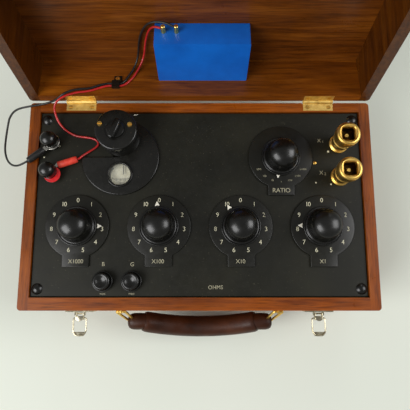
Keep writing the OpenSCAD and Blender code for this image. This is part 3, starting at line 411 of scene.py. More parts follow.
for name, route, finish, node, slot in (
        ("lead_red_wire", RED_ROUTE, red_rubber, "lead_red", "red_lead"),
        ("lead_black_wire", BLACK_ROUTE, black_rubber, "lead_black", "black_lead")):
    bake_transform(lay_lead(name, route, finish, None, node))

# %% Lay the tails of the leads in the lid
LID_OPEN = math.radians(102)
HINGE_Y, HINGE_Z = 121.5, 100.2
RED_TAIL = [
    (-98, 108.4, 113.4), (-91.5, 108.4, 113.4), (-85.5, 108.4, 116.6), (-80, 108.4, 123), (-76, 108.2, 130),
    (-72, 106.5, 137), (-68, 102, 143), (-65, 95, 146.8), (-63, 86, 148), (-61, 76, 148),
    (-58, 65, 147), (-54, 54, 145), (-48, 46.5, 142), (-40.5, 44.5, 138.4)]
BLACK_TAIL = [
    (-98, 108.4, 116.4), (-92.5, 108.4, 116.4), (-88, 108.4, 119.8), (-84, 108.4, 127), (-80, 108, 134),
    (-76, 105, 141), (-73, 99, 146), (-71, 91, 148.5), (-69, 80, 149.2), (-66, 68, 149.2),
    (-61, 56, 148), (-54, 46, 146), (-44, 41, 143.5), (-34, 40.5, 141), (-26.5, 42.5, 138.4)]


def opened(p):
    """A point given with the lid shut, turned to where the lid stands open."""
    y, z = p[1] - HINGE_Y, p[2] - HINGE_Z
    c, s = math.cos(LID_OPEN), math.sin(LID_OPEN)
    return (p[0], HINGE_Y + y * c + z * s, HINGE_Z - y * s + z * c)


def opened_shape(shape):
    return [opened(p) for p in shape[0]], shape[1]


for name, route, finish, slot in (("tail_red_wire", RED_TAIL, red_rubber, "red_lead"),
                                  ("tail_black_wire", BLACK_TAIL, black_rubber, "black_lead")):
    lay_lead(name, [opened(p) for p in route], finish, "lid", "lead_tails")


# %% [markdown]
# ## The plugs on the leads
# Each lead ends in a rubber sleeve with a fork that slides under a terminal head. The
# sleeve is a short tube with rounded ends, and the fork is stamped from thin plate. The
# red one is dipped in red lacquer, and only its root shows bright metal.

# %% Make the sleeves and forks
bright_metal = Finish("bright tinned metal", (205, 202, 192), 0.25, 1.0)
bright_metal.to(bright_metal.ramp(bright_metal.noise(300, 4), (0.3, 0.18), (0.8, 0.38)), "Roughness")
red_lacquer = Finish("red lacquer", (214, 30, 36), 0.16, Coat_Weight=0.6)
red_lacquer.mottle(180, 3, (0.3, (190, 20, 28)), (0.75, (226, 44, 44)))
RED_POST, BLACK_POST = (-171.6, 35.4), (-172, 71.4)
SLEEVE_R, FORK_Z, FORK_THICK, STUD_ROOM = 4, 103.8, 1.0, 2.9
SLEEVE_TAPER = [(0, 0.8), (0.01, 0.93), (0.035, 1.0), (0.5, 1.0), (0.82, 0.99), (0.9, 0.96), (0.97, 0.92),
                (0.99, 0.84), (1, 0.7)]


def sleeve(start, end):
    """A rubber sleeve, a little thinner at its ends, with rounded edges."""
    a, b = Vector(start), Vector(end)
    return tube([a.lerp(b, t) for t, _ in SLEEVE_TAPER], [SLEEVE_R * k for _, k in SLEEVE_TAPER], 32)


def fork(post, centre, reach, opening):
    """A flat ring round a post, open on the side of an angle."""
    spots = [opening + 24 + 312 * k / 40 for k in range(41)]
    outer = [on_circle(reach, t, centre) for t in spots]
    inner = [on_circle(STUD_ROOM, t, post) for t in spots]
    return plate(outer + inner[::-1], FORK_Z, FORK_Z + FORK_THICK, 0.25)


def blade(*outline):
    """The flat root of a fork, which goes into the sleeve."""
    return plate(list(outline), FORK_Z, FORK_Z + FORK_THICK, 0.2)


red_plug = add_piece("plug_red_sleeve", sleeve((-162.4, 43, 104.3), RED_ROUTE[0]), red_sleeve,
                     "case", ["plug_red"])
red_tip = add_piece("plug_red_fork", fork(RED_POST, (-168.6, 32.4), 9.6, 150), red_lacquer,
                    "case")
red_blade = blade((-163.8, 40.4), (-160.2, 43.2), (-163.6, 46.4), (-168.2, 39.4), (-166, 36))
red_root = add_piece("plug_red_root", red_blade, bright_metal, "case")
black_plug = add_piece("plug_black_sleeve", sleeve((-180, 61.5, 104.3), BLACK_ROUTE[0]),
                       black_rubber, "case", ["plug_black"])
black_blade = blade((-182, 62.4), (-179.4, 59.4), (-172.2, 62.4), (-177.4, 68.2))
black_tip = add_piece("plug_black_fork", join_shapes(fork(BLACK_POST, (-171.4, 70.6), 9.4, 40), black_blade),
                      bright_metal, "case")


# %% [markdown]
# ## The woods
# The case and the lid are polished hardwood, glued up from boards whose grain follows
# their length. Long, thin noise gives the streaks, a second and finer one the pores,
# and a slow one the broad change of tone. The side boards run the other way, so the
# grain turns with the place on the box. A thin coat of polish lies over it. On the lid
# the side boards are also made darker by a painted shade.

# %% Finish the woods
def wood(name, tones, side_from, coat, rough=0.34, seed=0.0, painted_side_shade=1.0):
    """Hardwood. Where |x| is over side_from (metres), the grain runs along Y, not X, and the colour there is
    multiplied by a painted shade that darkens those side boards.
    """
    f = Finish(name, tones[1], rough, Coat_Weight=coat, Coat_Roughness=0.18, Specular_IOR_Level=0.3)
    shifted = f.nodes.new("ShaderNodeVectorMath")
    shifted.inputs[1].default_value = (seed, seed * 1.7, seed * 0.6)
    f.link(f.place, shifted.inputs[0])
    place = shifted.outputs[0]
    side = f.math("GREATER_THAN", f.math("ABSOLUTE", f.axis("X")), side_from)

    def both(scale, thin, detail, distort=0.0):
        across = f.noise(scale, detail, 0.62, f.stretched(1, thin, thin, place), distort)
        along = f.noise(scale, detail, 0.62, f.stretched(thin, 1, thin, place), distort)
        return f.mix(side, across, along)

    streaks = both(9, 16, 5, 0.6)
    colour = f.ramp(streaks, (0.25, tones[0]), (0.5, tones[1]), (0.78, tones[2]))
    pores = f.ramp(both(34, 30, 3), (0.36, 0.42), (0.5, 1.0))
    broad = f.ramp(f.noise(6, 2, 0.5, place), (0.3, 0.72), (0.7, 1.12))
    marks = f.ramp(f.noise(85, 6, 0.7, place), (0.66, 1.0), (0.74, 0.5))
    # Painted shade: where the side mask is 1, the colour is multiplied by the factor given for the side
    # boards.
    shade = f.ramp(side, (0, 1.0), (1, painted_side_shade))
    for share, layer in ((0.75, pores), (0.8, broad), (0.6, marks), (1.0, shade)):
        colour = f.mix(share, colour, layer, "MULTIPLY")
    f.to(colour, "Base Color")
    f.to(f.ramp(f.noise(40, 3, 0.6, place), (0.3, rough - 0.08), (0.75, rough + 0.16)), "Roughness")
    f.bump(f.mix(0.5, streaks, pores), 0.16, 0.0003)
    return f


SIDE_FROM, ALL_ALONG_X = 0.188, 9
dress(wood("polished case wood", [(92, 38, 4), (140, 68, 10), (172, 92, 22)], SIDE_FROM, 0.08), "case_walls")
# The lid's side boards carry a painted shade, at 0.42 of the brightness of the rest of the lid.
dress(wood("polished lid wood", [(78, 36, 4), (124, 64, 10), (156, 90, 20)], SIDE_FROM, 0.05, seed=0.37,
           painted_side_shade=0.42), "lid_walls")
dress(wood("lid board wood", [(70, 32, 5), (116, 60, 12), (150, 86, 24)], ALL_ALONG_X, 0.05, seed=0.71),
      "lid_board")
dress(wood("plain inner wood", [(150, 110, 66), (176, 134, 86), (196, 156, 106)], 0.18, 0.0, 0.6, 0.13),
      "case_bottom", "panel_battens")
print("woods: 4")


# %% [markdown]
# ## The black parts
# The panel is ebonite, a hard rubber that has aged from black to a soft olive and has
# lost most of its shine. The dial plates, the knobs and the covers are moulded or
# enamelled and glossier. Dust, fine scratches and rubbed patches are drawn with noise
# in the roughness more than in the colour, because that is where they show.

# %% Finish the black parts
DUST_TONE = (150, 142, 118)


def aged_black(name, dark, light, rough, coat=0.0, dust=0.0, shine=0.3):
    f = Finish(name, dark, rough, Coat_Weight=coat, Coat_Roughness=0.1, Specular_IOR_Level=shine)
    colour = f.ramp(f.noise(14, 4), (0.32, dark), (0.72, light))
    specks = f.ramp(f.noise(620, 3, 0.7), (0.66, 0.0), (0.74, dust))
    f.to(f.mix(specks, colour, DUST_TONE), "Base Color")
    worn = f.mix(0.5, f.noise(26, 5), f.noise(190, 3))
    f.to(f.ramp(worn, (0.32, rough - 0.07), (0.7, rough + 0.12)), "Roughness")
    f.bump(f.noise(900, 3), 0.05, 0.0002)
    return f


ebonite = aged_black("aged ebonite", (21, 21, 14), (33, 32, 21), 0.45, dust=0.3)
dial_black = aged_black("dial plate black", (17, 17, 12), (27, 26, 18), 0.34, dust=0.25, shine=0.4)
bakelite = aged_black("glossy moulding", (8, 8, 6), (18, 18, 14), 0.27, 0.08, dust=0.1, shine=0.5)
enamel = aged_black("black enamel", (12, 12, 9), (22, 21, 16), 0.26, 0.1, dust=0.2, shine=0.5)
dress(ebonite, "instrument_panel")
dress(bakelite, "panel_screws", "turret_knob", "lead_clip")
print("blacks: 4")


# %% [markdown]
# ## The metals
# Brass shows gold where it is lacquered or handled and brown where it is not. Nickel
# is paler. Both are full metal in the shader, and noise moves the colour and the
# roughness a little, as fingers and polish do. Flat brass gets a higher roughness, so
# that it still catches the lamps when it doesn't mirror them.

# %% Finish the metals
def metal(name, dark, light, rough, grain=120, scratch=0.0):
    f = Finish(name, light, rough, 1.0)
    f.mottle(grain, 5, (0.3, dark), (0.68, light), rough=0.65)
    f.to(f.ramp(f.noise(grain * 3, 4), (0.3, rough - 0.06), (0.75, rough + 0.14)), "Roughness")
    if scratch:
        f.bump(f.noise(700, 2, 0.6, f.stretched(1, 12, 1)), scratch, 0.0001)
    return f


golden = metal("golden brass", (222, 172, 78), (248, 212, 122), 0.34, 18)
pale_brass = metal("pale brass", (216, 176, 92), (250, 222, 140), 0.52, 160, 0.1)
tarnish = metal("tarnished socket brass", (40, 28, 10), (92, 64, 26), 0.28)
brown_brass = metal("unpolished brass", (120, 86, 38), (176, 134, 66), 0.38)
nickel = metal("yellowed nickel", (170, 160, 130), (226, 218, 192), 0.2, 90)
steel = metal("bright steel", (150, 150, 150), (205, 205, 205), 0.25)
iron = Finish("dark magnet iron", (58, 58, 60), 0.55, 0.8)
iron.mottle(160, 5, (0.3, (44, 44, 46)), (0.7, (76, 76, 78)))
dress(pale_brass, "case_hinge_leaves", "lid_hinge_leaves")
dress(golden, "brass_screws", "lid_screws", "handle_staples")
dress(brown_brass, "switch_contacts", "spindle_bushes", "key_plunger_b", "key_plunger_g",
      *["rotor_" + k for k in ("x1000", "x100", "x10", "x1", "ratio")])
dress(nickel, "latch_plates", "strike_plates")
dress(iron, "galvanometer_magnet")
print("metals: 7")


# %% [markdown]
# ## The small parts
# Spools of varnished wire, a cream card behind a window and a blackened pointer. The
# window is thin and flat and bends no light, so it is made nearly see-through instead
# of solid glass, and the card behind it stays bright.

# %% Finish the small inner parts
spool = Finish("varnished spool", (150, 104, 52), 0.4)
turns = spool.noise(500, 2, 0.5, spool.stretched(0.2, 0.2, 6))
spool.to(spool.ramp(turns, (0.35, (104, 62, 28)), (0.65, (188, 140, 78))), "Base Color")
clear_glass = Finish("window glass", (240, 245, 240), 0.03, Alpha=0.06)
cream = Finish("cream card", (236, 230, 198), 0.7)
cream.mottle(240, 4, (0.3, (222, 214, 180)), (0.7, (242, 238, 212)))
thin_black = Finish("blackened pointer", (16, 16, 16), 0.5)
dress(spool, "resistance_bobbins")
dress(clear_glass, "window_glass")
dress(cream, "scale_card")
dress(thin_black, "galvanometer_movement")
print("small parts dressed")


# %% [markdown]
# ## The dial plates
# Each dial is a plate shaped like a keyhole: a disc with a label tab. The outline is an
# arc and three straight lines, and the plate tool rounds its upper edge, which catches
# the light as a thin bright line.

# %% Make the dial plates
PANEL_TOP, PLATE_TOP = 97.5, 100.0
ROW_HALF, ROW_SHIFT, ROW_Y = 139, 0.5, -27
ROW = (("x1000", -1), ("x100", -1 / 3), ("x10", 1 / 3), ("x1", 1))
DIALS = {name: (ROW_SHIFT + ROW_HALF * k, ROW_Y) for name, k in ROW}
DIALS["ratio"] = (94, 54)
TAB_WIDTH, TAB_CORNER = 30, 0.6


def keyhole(radius, drop):
    """Outline of a disc with a square tab below it."""
    half = TAB_WIDTH / 2
    root = math.degrees(math.acos(half / radius))
    outline = [on_circle(radius, -root + (180 + 2 * root) * k / 96) for k in range(97)]
    return outline + [(-half, -drop + TAB_CORNER), (-half + TAB_CORNER, -drop),
                      (half - TAB_CORNER, -drop), (half, -drop + TAB_CORNER)]


plates = []
for name, (x, y) in DIALS.items():
    outline = keyhole(37, 45.3) if name == "ratio" else keyhole(36, 45.6)
    plates.append(placed(plate(outline, PANEL_TOP, PLATE_TOP, 0.6), (x, y, 0)))
add_piece("dial_plates_moulded", join_shapes(*plates), dial_black, "case",
          ["dial_plates"])
print("dial plates:", len(plates))


# %% [markdown]
# ## The figures
# The figures are engraved and filled with cream paint. Engraving is too shallow to see,
# so thin raised letters do as well. The text tool draws them, and they are turned into
# plain meshes. The numbers run clockwise from 0 at the top, in eleven equal steps.

# %% Draw letters
STROKE_TRIM = 0.006


def letters(words, size, thickness=0.12, spacing=1.0):
    """Raised figures as a shape, centred on the origin in the XY plane."""
    text = bpy.data.curves.new("figures", "FONT")
    text.body = words
    text.size = size * MM
    text.align_x, text.align_y = "CENTER", "CENTER"
    text.extrude = thickness / 2 * MM
    text.resolution_u = 3
    text.space_character = spacing
    text.offset = -STROKE_TRIM * size * MM
    holder = bpy.data.objects.new("figures", text)
    SCENE.collection.objects.link(holder)
    mesh = bpy.data.meshes.new_from_object(holder.evaluated_get(bpy.context.evaluated_depsgraph_get()))
    shape = ([tuple(v.co / MM) for v in mesh.vertices], [list(f.vertices) for f in mesh.polygons])
    bpy.data.objects.remove(holder)
    bpy.data.curves.remove(text)
    bpy.data.meshes.remove(mesh)
    return shape


print("letters can be drawn")

# %% Engrave the figures
paint = Finish("cream paint", (226, 220, 188), 0.6)
paint.mottle(900, 3, (0.3, (186, 178, 142)), (0.6, (232, 228, 200)))
faded_paint = Finish("worn cream paint", (170, 164, 136), 0.6)
faded_paint.mottle(1500, 3, (0.36, (122, 116, 94)), (0.56, (194, 188, 158)), rough=0.7)
FIGURE_RING, FIGURE_STEP, FIGURE_LIFT, FIGURE_SIZE = 28.9, 360 / 11, 0.8, 7.2
figures = []
for name, _ in ROW:
    x, y = DIALS[name]
    for k in range(11):
        place = on_circle(FIGURE_RING, 90 - k * FIGURE_STEP, (x, y + FIGURE_LIFT))
        figures.append(placed(letters(str(k), FIGURE_SIZE, spacing=0.8), (*place, PLATE_TOP)))
add_piece("dial_figures", join_shapes(*figures), paint, "case")
print("figures:", len(figures))

# %% Engrave the words
TAB_WORDS = (("x1000", "X1000", 6.6, 0.6, 39.6), ("x100", "X100", 6.6, -0.4, 39.6),
             ("x10", "X10", 6.6, -0.8, 39.6), ("x1", "X1", 6.6, -1.4, 39.6), ("ratio", "RATIO", 7.4, 0, 39.8))
PANEL_WORDS = (("OHMS", 6.0, 18, -95.1), ("B", 6.4, -107.6, -69.6), ("G", 6.4, -75.2, -69.8),
               ("X", 6.4, 140.2, 74.2), ("1", 4.4, 144.6, 72.9), ("X", 6.4, 141.2, 35.5),
               ("2", 4.4, 145.8, 34.2))
RATIO_WORDS = ("1000", "100", "10", "1", "1/10", "1/100", "1/1000")
marks = []
for name, words, size, shift, drop in TAB_WORDS:
    x, y = DIALS[name]
    marks.append(placed(letters(words, size, spacing=0.94), (x + shift, y - drop, PLATE_TOP)))
marks += [placed(letters(words, size), (x, y, PANEL_TOP)) for words, size, x, y in PANEL_WORDS]
add_piece("panel_words", join_shapes(*marks), faded_paint, "case")
small = [placed(letters(words, 2.9), (*on_circle(29.6, -150 + 20 * k, DIALS["ratio"]), PLATE_TOP))
         for k, words in enumerate(RATIO_WORDS)]
small += [placed(letters("PRESS", 2.6), (x, -102.2, PANEL_TOP)) for x in (-107, -75)]
add_piece("small_words", join_shapes(*small), faded_paint, "case")
print("words:", len(marks) + len(small))

# %% Add the small marks of the panel
white_paint = Finish("white arrow paint", (238, 234, 216), 0.5)
white_paint.mottle(700, 3, (0.3, (214, 206, 178)), (0.6, (246, 243, 230)))
DOTS = ((134.6, 24, 1.0), (-181.4, 54.3, 0.9), (-164.2, 67.9, 1.1), (150.4, 61.2, 1.3), (152, 22, 1.0))
dots = [placed(lathe([(0, 0), (r, 0), (r * 0.6, 0.25), (0, 0.3)], 16), (x, y, PANEL_TOP)) for x, y, r in DOTS]
add_piece("panel_dots", join_shapes(*dots), paint, "case")
chip = plate([(-78.2, 105.6), (-76.4, 105.2), (-73.6, 106.2), (-73.2, 106.9), (-75.8, 106.6), (-77.6, 106.9)],
             PANEL_TOP, PANEL_TOP + 0.15, 0.05, 1)
add_piece("worn_edge_mark", chip, white_paint, "case")
screw_profile = [(0, 0), (1.9, 0), (2.1, 0.3), (1.9, 0.8), (1.2, 1.2), (0, 1.3)]
add_piece("small_panel_screw", placed(lathe(screw_profile, 24), (133.9, 47.4, PANEL_TOP)), golden,
          "case")
print("dots:", len(dots))


# %% [markdown]
# ## The knobs
# A knob is turned in one piece: a flat skirt with a shiny ridge, a waist that curves in
# and a domed cap. A lathe profile gives all of it. The pointer is a small nib on the
# skirt with a white arrowhead laid on it, and the nib turns with the knob.

# %% Draw the knob's profile
SKIRT, CAP, CAP_Z, KNOB_HEIGHT, BORE = 22.5, 16.9, 17.5, 29, 3
WAIST_IN, WAIST_Z, WAIST_RISE = 2.8, 3.6, 8
waist, dome = ([on_circle(1, t) for t in range(0, *stops)] for stops in ((91, 10), (90, 6)))
knob_profile = ([(BORE, 0.2), (SKIRT - 0.9, 0.0)] + arc(SKIRT - 0.8, 0.8, 0.8, -90, 0, 4)
                + arc(SKIRT - 0.9, 2.5, 0.9, 0, 90, 6)
                + [(SKIRT - 1.6, 3.3), (SKIRT - 2.2, 3.1), (SKIRT - 2.7, 3.5)]
                + [(CAP + 0.1 + WAIST_IN * (1 - s), WAIST_Z + WAIST_RISE * (1 - c)) for c, s in waist]
                + [(CAP * c, CAP_Z + (KNOB_HEIGHT - CAP_Z) * s) for c, s in dome]
                + [(0, KNOB_HEIGHT), (0, 18), (BORE, 18)])
print("points in the knob's profile:", len(knob_profile))

# %% Turn the knobs
POINTS_AT = {"x1000": 90, "x100": 355, "x10": 328, "x1": 271.5, "ratio": 189}
KNOB_Z, RATIO_NIB_SHORTER = 100.4, 2.6
NIB = [(18, -3.2), (22.5, -3.4), (28.4, -0.5), (28.4, 0.5), (22.5, 3.4), (18, 3.2)]
ARROW = [(23.1, -2.8), (28.2, -0.3), (28.2, 0.3), (23.1, 2.8), (23.7, 0)]
for name, (x, y) in DIALS.items():
    turn = 90 - POINTS_AT[name]
    less = RATIO_NIB_SHORTER if name == "ratio" else 0
    nib = plate([(px - (less if px > 20 else 0), py) for px, py in NIB], 0.05, 1.3, 0.3)
    moulding = join_shapes(lathe(knob_profile, 128), placed(nib, turn=turn))
    add_piece("knob_" + name + "_moulding", placed(moulding, (x, y, KNOB_Z)), bakelite,
              "knob_" + name, ["knob_" + name])
    arrow = plate([(px - less, py) for px, py in ARROW], 1.25, 1.45, 0.05)
    add_piece("knob_" + name + "_arrow", placed(arrow, (x, y, KNOB_Z), turn), white_paint,
              "knob_" + name)
print("knobs:", len(DIALS))


# %% [markdown]
# ## The galvanometer
# A low round cover with one quarter missing hides the movement. A turret stands on it
# with a turning bar on top, and a small window in front shows the needle over its card.
# The cover is an outline with a rounded edge and a hole cut through it, the turret a
# lathe profile, and the scale a fan of fine strokes laid on the card.

# %% Make the cover and the window rim
GALVO, COVER_R, COVER_CUT = (-92, 54), 45, 44
COVER_RISE, COVER_EDGE, COVER_STEPS, WINDOW_R = 3, 1.2, 6, 12.6
TURRET_Y, WINDOW_Y = 76.4, 33


def pierced_plate(outline, hole, low, high, edge, steps):
    """A plate with a rounded upper edge and a hole through it."""
    points = plate(outline, low, high, edge, steps)[0]
    n, m, top = len(outline), len(hole), steps + 1
    first = len(points)
    points = points + [(x, y, z) for z in (low, high) for x, y in hole]
    faces = [[r * n + k, r * n + (k + 1) % n, (r + 1) * n + (k + 1) % n, (r + 1) * n + k]
             for r in range(top) for k in range(n)]
    faces += [[first + k, first + m + k, first + m + (k + 1) % m, first + (k + 1) % m] for k in range(m)]
    for ring, start, faces_up in ((0, first, False), (top, first + m, True)):
        numbers = [ring * n + k for k in range(n)] + [start + k for k in range(m)]
        flat = [Vector((points[i][0], points[i][1], 0)) for i in numbers]
        for a, b, c in tessellate_polygon([flat[:n], flat[n:]]):
            turns_up = (flat[b] - flat[a]).cross(flat[c] - flat[a]).z > 0
            faces.append([numbers[i] for i in ((a, b, c) if turns_up == faces_up else (a, c, b))])
    return points, faces


cover_outline = ([on_circle(COVER_R, a, GALVO) for a in range(-180, 91, 3)]
                 + [(GALVO[0], GALVO[1] + COVER_CUT), GALVO, (GALVO[0] - COVER_CUT, GALVO[1])])
window_hole = [on_circle(WINDOW_R, a, (GALVO[0], WINDOW_Y)) for a in range(0, 360, 5)]
cover = pierced_plate(cover_outline, window_hole, PANEL_TOP, PANEL_TOP + COVER_RISE, COVER_EDGE, COVER_STEPS)
rim_profile = [(12.4, 0.5), (15, 0.5)] + arc(14.2, 4.2, 0.8, 0, 90, 5) + arc(13.2, 4.2, 0.8, 90, 180, 5)
rim = placed(lathe(rim_profile), (GALVO[0], WINDOW_Y, PANEL_TOP))
add_piece("galvanometer_cover_plate", join_shapes(cover, rim), enamel, "case",
          ["galvanometer_cover"])
print("cover outline has", len(cover_outline), "points")

# %% Turn the turret and its bar
BAR_Z, BAR_TURN = 131.8, -22
turret_profile = ([(19.4, 0), (22.4, 0), (22.4, 1.6), (22.0, 2.2), (21.9, 26.6), (22.4, 27.4), (23.4, 28.2),
                   (23.4, 32)] + arc(21.4, 32, 2, 0, 90, 8)
                  + [(12, 34), (11.6, 33.7), (3.05, 33.7), (3.05, 28), (19.4, 28)])
add_piece("galvanometer_turret_shell", placed(lathe(turret_profile, 128), (GALVO[0], TURRET_Y, PANEL_TOP)),
          enamel, "case", ["galvanometer_turret"])
bar_outline = [(-3.3, -10.5), (-1.6, -12), (1.6, -12), (3.3, -10.5), (3.6, 0), (3.3, 9), (2, 10.5),
               (-2, 10.5), (-3.3, 9), (-3.6, 0)]
bar_knob = join_shapes(lathe([(0, 0), (9.4, 0), (9.6, 0.5), (9.6, 1.9), (9.0, 2.5), (0, 2.7)], 64),
                       placed(plate(bar_outline, 2.4, 8, 1.6, 5), turn=BAR_TURN))
add_piece("turret_bar", placed(bar_knob, (GALVO[0], TURRET_Y, BAR_Z)), bakelite, "turret_switch",
          ["turret_knob"])
print("turret height in mm:", max(z for _, z in turret_profile))

# %% Mark the scale
SCALE_IN, SCALE_STEP, CARD_Z = 46.2, 1.25, 92.5
strokes = []
for k in range(-10, 11):
    reach = SCALE_IN + (3.4 if k % 5 == 0 else 2.2)
    a = math.radians(-90 + k * SCALE_STEP)
    c, s = math.cos(a), math.sin(a)
    w = 0.16 if k % 5 else 0.24
    corners = [(r * c - side * w * s, r * s + side * w * c)
               for r, side in ((SCALE_IN, 1), (SCALE_IN, -1), (reach, -1), (reach, 1))]
    strokes.append(placed(plate(corners, 0, 0.06, 0.01, 1), (GALVO[0], TURRET_Y, CARD_Z)))
strokes.append(placed(letters("0", 3.0, 0.06), (GALVO[0], TURRET_Y - 52.6, CARD_Z + 0.03)))
ink = Finish("black ink", (26, 24, 20), 0.6)
add_piece("scale_strokes", join_shapes(*strokes), ink, "case")
print("scale strokes:", len(strokes))


# %% [markdown]
# ## The terminals
# The two black terminals are lathe work: a collar, a nickel washer and a domed head.
# The two brass ones are taller, with grooves for the fingers, a thick rolled ring at
# the top and a squarish socket inside it. Lofted rings go from a circle outside to a
# rounded square inside, and a thin dark lining is the tarnish that no finger reaches.

# %% Turn the black terminals
HEAD_Z = 104.9
STUD_NUT = lathe([(2.5, -8.5), (5, -8.5), (5, -5), (2.5, -5)], 6)
collar = lathe([(2.6, 0), (9, 0), (9, 3.6)] + arc(8, 4, 1, 0, 90, 4) + [(2.6, 5)], 72)
washer = lathe([(2.6, 5.0), (9.1, 5.0), (9.3, 5.2), (9.3, 6.0), (9.1, 6.2), (2.6, 6.2)], 72)
stud = lathe([(0, -10.5), (2.5, -10.5), (2.5, 18), (0, 18)], 32)
crown = [on_circle(1, t) for t in range(10, 81, 10)]
head = lathe([(2.55, 0), (7.6, 0)] + arc(7.6, 1.4, 1.4, -90, 0, 5) + [(8.7, 2.4), (9, 3.2), (9, 9.6)]
             + [(9 * c, 9.6 + 7 * s) for c, s in crown] + [(0, 16.6), (0, 13), (2.55, 13)])
black_posts = {"rear": BLACK_POST, "front": RED_POST}
for name, (x, y) in black_posts.items():
    add_piece("black_head_" + name, placed(head, (x, y, HEAD_Z)), bakelite, "head_" + name,
              ["post_head_" + name])


def at_posts(posts, *shapes):
    """Copies of shapes on the panel at every post."""
    return join_shapes(*[placed(shape, (x, y, PANEL_TOP)) for x, y in posts.values() for shape in shapes])


add_piece("black_post_collars", at_posts(black_posts, collar), bakelite, "case",
          ["black_post_bases"])
add_piece("black_post_washers", at_posts(black_posts, washer), bright_metal, "case")
add_piece("black_post_studs", at_posts(black_posts, stud, STUD_NUT), brown_brass, "case")
print("black terminals:", len(black_posts))

# %% Turn the brass terminals
BRASS_HEAD_Z, RING_SIDES = 111.9, 96
KNURL_R, KNURL_DEPTH, GROOVE = 11.3, 0.25, 10.0


def ring_of(radius, z, square=0.0):
    """A ring of points; square from 0, round, to 1, a rounded square of about that half width."""
    ring, power = [], 2 + 5 * square
    for k in range(RING_SIDES):
        c, s = on_circle(1, 360 * k / RING_SIDES)
        r = radius / (abs(c) ** power + abs(s) ** power) ** (1 / power)
        ring.append((r * c, r * s, z))
    return ring


def knurled(z):
    return [(*on_circle(KNURL_R - (KNURL_DEPTH if k % 2 else 0), 360 * k / RING_SIDES), z)
            for k in range(RING_SIDES)]


loops = [ring_of(2.56, 0), ring_of(10.2, 0), ring_of(11.2, 0.8), knurled(1.2), knurled(5.0),
         ring_of(10.2, 5.4), ring_of(GROOVE, 6.6), ring_of(10.9, 7.1), knurled(7.4), knurled(11.0),
         ring_of(10.2, 11.5), ring_of(GROOVE, 12.8), ring_of(11.4, 13.6)]
loops += [ring_of(r, z) for r, z in ((12.9, 14.6), (13.2, 15.8), (13.3, 21.4), (13.2, 22.8), (12.8, 24.0),
                                     (12.2, 24.9), (11.4, 25.4), (10.5, 25.6))]
loops += [ring_of(r, z, square) for r, z, square in (
    (9.4, 25.6, 0.15), (8.2, 25.2, 0.4), (7.4, 24.4, 0.6), (7.0, 23.2, 0.8), (6.8, 21.5, 0.9),
    (6.5, 13.7, 0.9), (2.56, 13.6, 0))]
brass_head = loft(loops, closed=True)
lining = loft([ring_of(r, z, square) for r, z, square in (
    (6.72, 21.6, 0.9), (6.46, 13.9, 0.9), (2.6, 13.9, 0), (2.6, 14.4, 0), (6.2, 14.4, 0.9),
    (6.5, 21.7, 0.9))], closed=True)
brass_posts = {"x1": (162.5, 70), "x2": (162.5, 31)}
for name, (x, y) in brass_posts.items():
    add_piece("brass_head_" + name, placed(brass_head, (x, y, BRASS_HEAD_Z)), golden,
              "head_" + name, ["post_head_" + name], 50)
    add_piece("brass_socket_" + name, placed(lining, (x, y, BRASS_HEAD_Z)), tarnish,
              "head_" + name)
base = lathe([(2.5, 0), (10.6, 0), (11, 0.4), (11, 2.6), (10.6, 3), (9.2, 3.6), (8.5, 4.6), (8.4, 8.6),
              (9.4, 9.8), (10.3, 10.4), (10.5, 11), (10.5, 13.5), (10, 14), (2.5, 14)])
tall_stud = lathe([(0, -10.5), (2.5, -10.5), (2.5, 31.4), (1.9, 32), (0, 32)], 32)
add_piece("brass_post_feet", at_posts(brass_posts, base, tall_stud, STUD_NUT), golden, "case",
          ["brass_post_bases"])
print("brass terminals:", len(brass_posts))


# %% [markdown]
# ## The keys
# Each key is a dished button that slides down inside a collar and springs back. The
# dish on top catches a round highlight, so the profile has a hollow centre and a soft
# rolled edge. The spring below it is a wire coil, fixed to the case.

# %% Turn the keys
KEYS = {"b": (-107, -88.2), "g": (-75, -88.2)}
COIL_R, COIL_WIRE, COIL_LOW, COIL_RISE, COIL_KEEP = 5.1, 0.35, 0.4, 6.1, 0.58
button = lathe([(5.9, 100.8), (9.1, 100.8), (9.5, 101.3), (9.5, 106.8)] + arc(7.4, 107.2, 2.1, 0, 90, 8)
               + [(6.6, 109.2), (5.4, 108.5), (3.6, 107.7), (1.8, 107.2), (0, 107.0), (0, 106), (3, 105.9),
                  (3, 104.9), (5.9, 104.9)])
coil = tube([(*on_circle(COIL_R, 22.5 * t), COIL_LOW + COIL_RISE * min(max((t - 8) / 72, 0), 1))
             for t in range(89)], COIL_WIRE, 10)
for name, (x, y) in KEYS.items():
    add_piece("key_button_" + name + "_moulding", placed(button, (x, y, 0)), bakelite,
              "key_" + name, ["key_button_" + name])
    spring = add_piece("key_spring_" + name + "_coil", placed(coil, (x, y, PANEL_TOP)), steel,
                       "case", ["key_springs"], 60)
    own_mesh(spring)
key_collar = lathe([(9.8, 0), (11.4, 0), (11.4, 3.8)] + arc(10.7, 4.2, 0.7, 0, 90, 4)
                   + [(10.2, 4.9), (9.8, 4.5)])
add_piece("key_collars_moulding", at_posts(KEYS, key_collar), bakelite, "case",
          ["key_collars"])
print("keys:", len(KEYS))


# %% [markdown]
# ## The latches
# A latch is a lever on a pin with a wire bail hooked to it. Both stand open and level,
# as the case was left. The wire is a tube along a line with rounded corners, and the
# lever a pressed plate with two cheeks.

# %% Bend the bails and press the levers
def rounded(points, radius, steps=6):
    """A line whose corners are replaced with arcs."""
    out = [Vector(points[0])]
    for k in range(1, len(points) - 1):
        a, b, c = Vector(points[k - 1]), Vector(points[k]), Vector(points[k + 1])
        r = min(radius, (a - b).length * 0.49, (c - b).length * 0.49)
        start, end = b + (a - b).normalized() * r, b + (c - b).normalized() * r
        for s in range(steps + 1):
            t = s / steps
            out.append((1 - t) ** 2 * start + 2 * t * (1 - t) * b + t * t * end)
    return out + [Vector(points[-1])]


